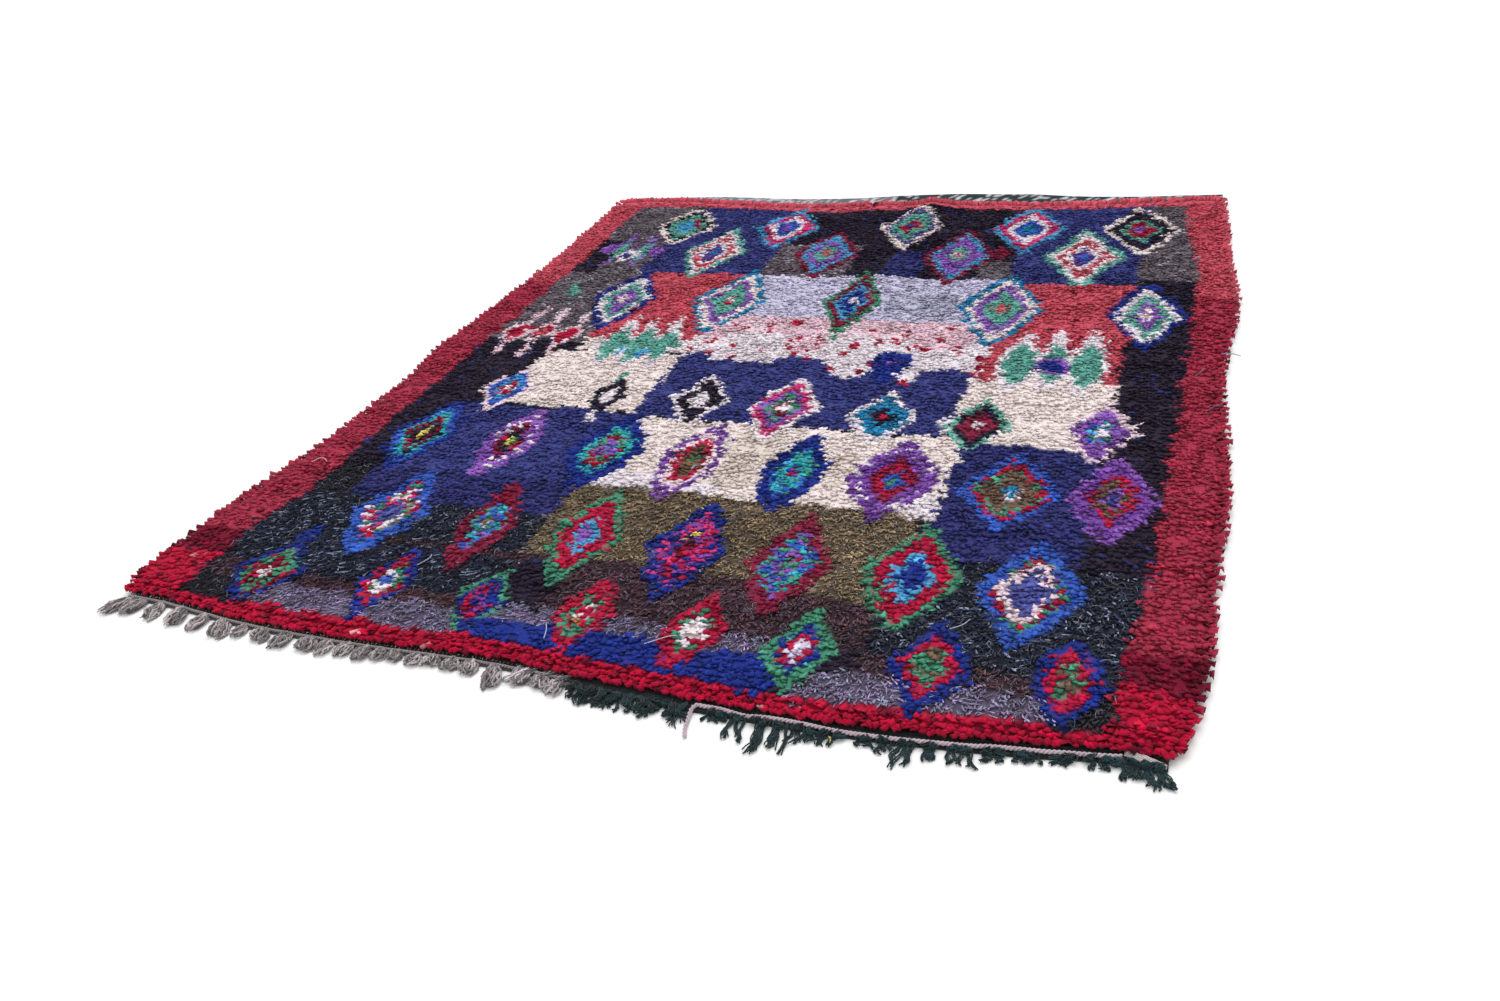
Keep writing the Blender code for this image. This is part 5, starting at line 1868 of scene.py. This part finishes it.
class RUG_OT_green_fringe(Operator):
    """Make the dark strip and its bunches of green strands"""

    bl_idname = "rug.green_fringe"
    bl_label = "Green strands"

    def execute(self, context):
        chance = np.random.default_rng(31)
        settings = context.scene.rug_fringe
        tint = np.array(tuple(settings.green))
        strip = np.array(tuple(settings.strip))
        # The green strip is all in the dark strip colour: its own dark green with painted shade from the pile's
        # overhang
        parts = [strip_surface(STRIP_PARTING + GAP, GREEN_END, GREEN_OUT, strip, strip)]
        for cluster in GREEN_CLUSTERS:
            width = cluster.end - cluster.start
            centres = strand_paths(cluster, chance)
            tints = tint * chance.uniform(0.7, 1.3, (len(centres), 1))
            parts.append(tubes(centres, STRAND_RADIUS, 3, tints))
            lumpy = cluster.end < LUMPY_END
            yarns = cluster.strands * (LUMPY_YARNS if lumpy else TANGLE_YARNS)
            reach = 0.85 * cluster.length if lumpy else TANGLE_REACH
            lump = (0.5 * (cluster.start + cluster.end), width, reach, TANGLE_HEIGHT, yarns)
            parts.append(tangle(lump, GREEN_OUT - 0.006, 0.0012, tint, chance))
        obj = mesh_object("green_fringe", joined(parts), finish_for("fringe yarn"))
        place_piece(obj)
        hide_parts("fringe_green")
        return {"FINISHED"}


class RUG_OT_edge_cord(Operator):
    """Make the pale two-ply cord along the green strip, with its loose tail"""

    bl_idname = "rug.edge_cord"
    bl_label = "Edge cord"

    def execute(self, context):
        chance = np.random.default_rng(37)
        tint = np.array(tuple(context.scene.rug_fringe.cord))
        xs = np.array([point.x for point in CORD_ROUTE])
        outs = np.array([point.out for point in CORD_ROUTE])
        on_strip = np.stack([xs, near_outside(xs, outs), np.full(len(xs), CORD_ON_STRIP)], axis=-1)
        route = smooth_path(np.concatenate([on_strip, CORD_TAIL]), CORD_STEP)
        surface = rope(route, CORD_PLY, CORD_LAY, CORD_PITCH, 8, tint, chance)
        obj = mesh_object("cord", surface, finish_for("fringe yarn"))
        place_piece(obj)
        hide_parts("edge_cord")
        return {"FINISHED"}


class RUG_OT_corner_tape(Operator):
    """Make the pale tapering tape at the near right corner"""

    bl_idname = "rug.corner_tape"
    bl_label = "Corner tape"

    def execute(self, context):
        tint = np.array(tuple(context.scene.rug_fringe.tape))
        root = np.array(TAPE_ROOT)
        tip = np.array(TAPE_TIP)
        way = (tip - root) / np.linalg.norm(tip - root)
        square = np.array([-way[1], way[0]])
        share, side = np.meshgrid(np.linspace(0.0, 1.0, 25), np.linspace(-0.5, 0.5, 7))
        width = TAPE_WIDTH + (TAPE_TIP_WIDTH - TAPE_WIDTH) * share**2
        level = root + (tip - root) * share[..., None] + square * (side * width)[..., None]
        height = TAPE_HEIGHT + TAPE_THICKNESS + TAPE_RISE * (0.5 + side) + 0.0003 * np.sin(30.0 * share)
        top = np.concatenate([level, height[..., None]], axis=-1)
        obj = mesh_object("tape", slab_surface(top, TAPE_HEIGHT, np.tile(tint, (side.size, 1))), finish_for("flat weave"))
        place_piece(obj)
        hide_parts("corner_tape")
        return {"FINISHED"}


class RUG_OT_threads(Operator):
    """Make the few loose threads on the pile"""

    bl_idname = "rug.threads"
    bl_label = "Loose threads"

    def execute(self, context):
        chance = np.random.default_rng(47)
        surface = joined([thread_surfaces(THREADS, height_over), hairs(HAIRS, chance)])
        obj = mesh_object("loose_threads", surface, finish_for("fringe yarn"))
        place_piece(obj)
        return {"FINISHED"}


class RUG_OT_cloth(Operator):
    bl_idname = "rug.cloth"
    bl_label = "Declare the cloth"

    def execute(self, context):
        return {"FINISHED"}


class RUG_PT_panel(Panel):
    """The rug's pieces in the sidebar"""

    bl_idname = "RUG_PT_panel"
    bl_label = "Boucherouite rug"
    bl_space_type = "VIEW_3D"
    bl_region_type = "UI"
    bl_category = "Rug"

    def draw(self, context):
        layout = self.layout
        for operator in OPERATORS:
            layout.operator(operator.bl_idname)
        for group in (context.scene.rug_pile, context.scene.rug_fringe, context.scene.rug_palette):
            for name in group.bl_rna.properties.keys():
                if name not in ("rna_type", "name"):
                    layout.prop(group, name)


OPERATORS = (
    RUG_OT_stage,
    RUG_OT_ground,
    RUG_OT_pile_bed,
    RUG_OT_pile,
    RUG_OT_grey_fringe,
    RUG_OT_green_fringe,
    RUG_OT_edge_cord,
    RUG_OT_corner_tape,
    RUG_OT_threads,
    RUG_OT_cloth,
)
GROUPS = (
    ("rug_palette", PaletteSettings),
    ("rug_pile", PileSettings),
    ("rug_fringe", FringeSettings),
    ("rug_stage", StageSettings),
)


def register():
    for name, group in GROUPS:
        bpy.utils.register_class(group)
        setattr(bpy.types.Scene, name, PointerProperty(type=group))
    for operator in OPERATORS:
        bpy.utils.register_class(operator)
    bpy.utils.register_class(RUG_PT_panel)


def unregister():
    bpy.utils.unregister_class(RUG_PT_panel)
    for operator in reversed(OPERATORS):
        bpy.utils.unregister_class(operator)
    for name, group in reversed(GROUPS):
        delattr(bpy.types.Scene, name)
        bpy.utils.unregister_class(group)


def main():
    register()
    bpy.ops.rug.stage()
    bpy.ops.rug.ground()
    bpy.ops.rug.pile_bed()
    bpy.ops.rug.pile()
    bpy.ops.rug.grey_fringe()
    bpy.ops.rug.green_fringe()
    bpy.ops.rug.edge_cord()
    bpy.ops.rug.corner_tape()
    bpy.ops.rug.threads()
    bpy.ops.rug.cloth()


if __name__ == "__main__":
    main()
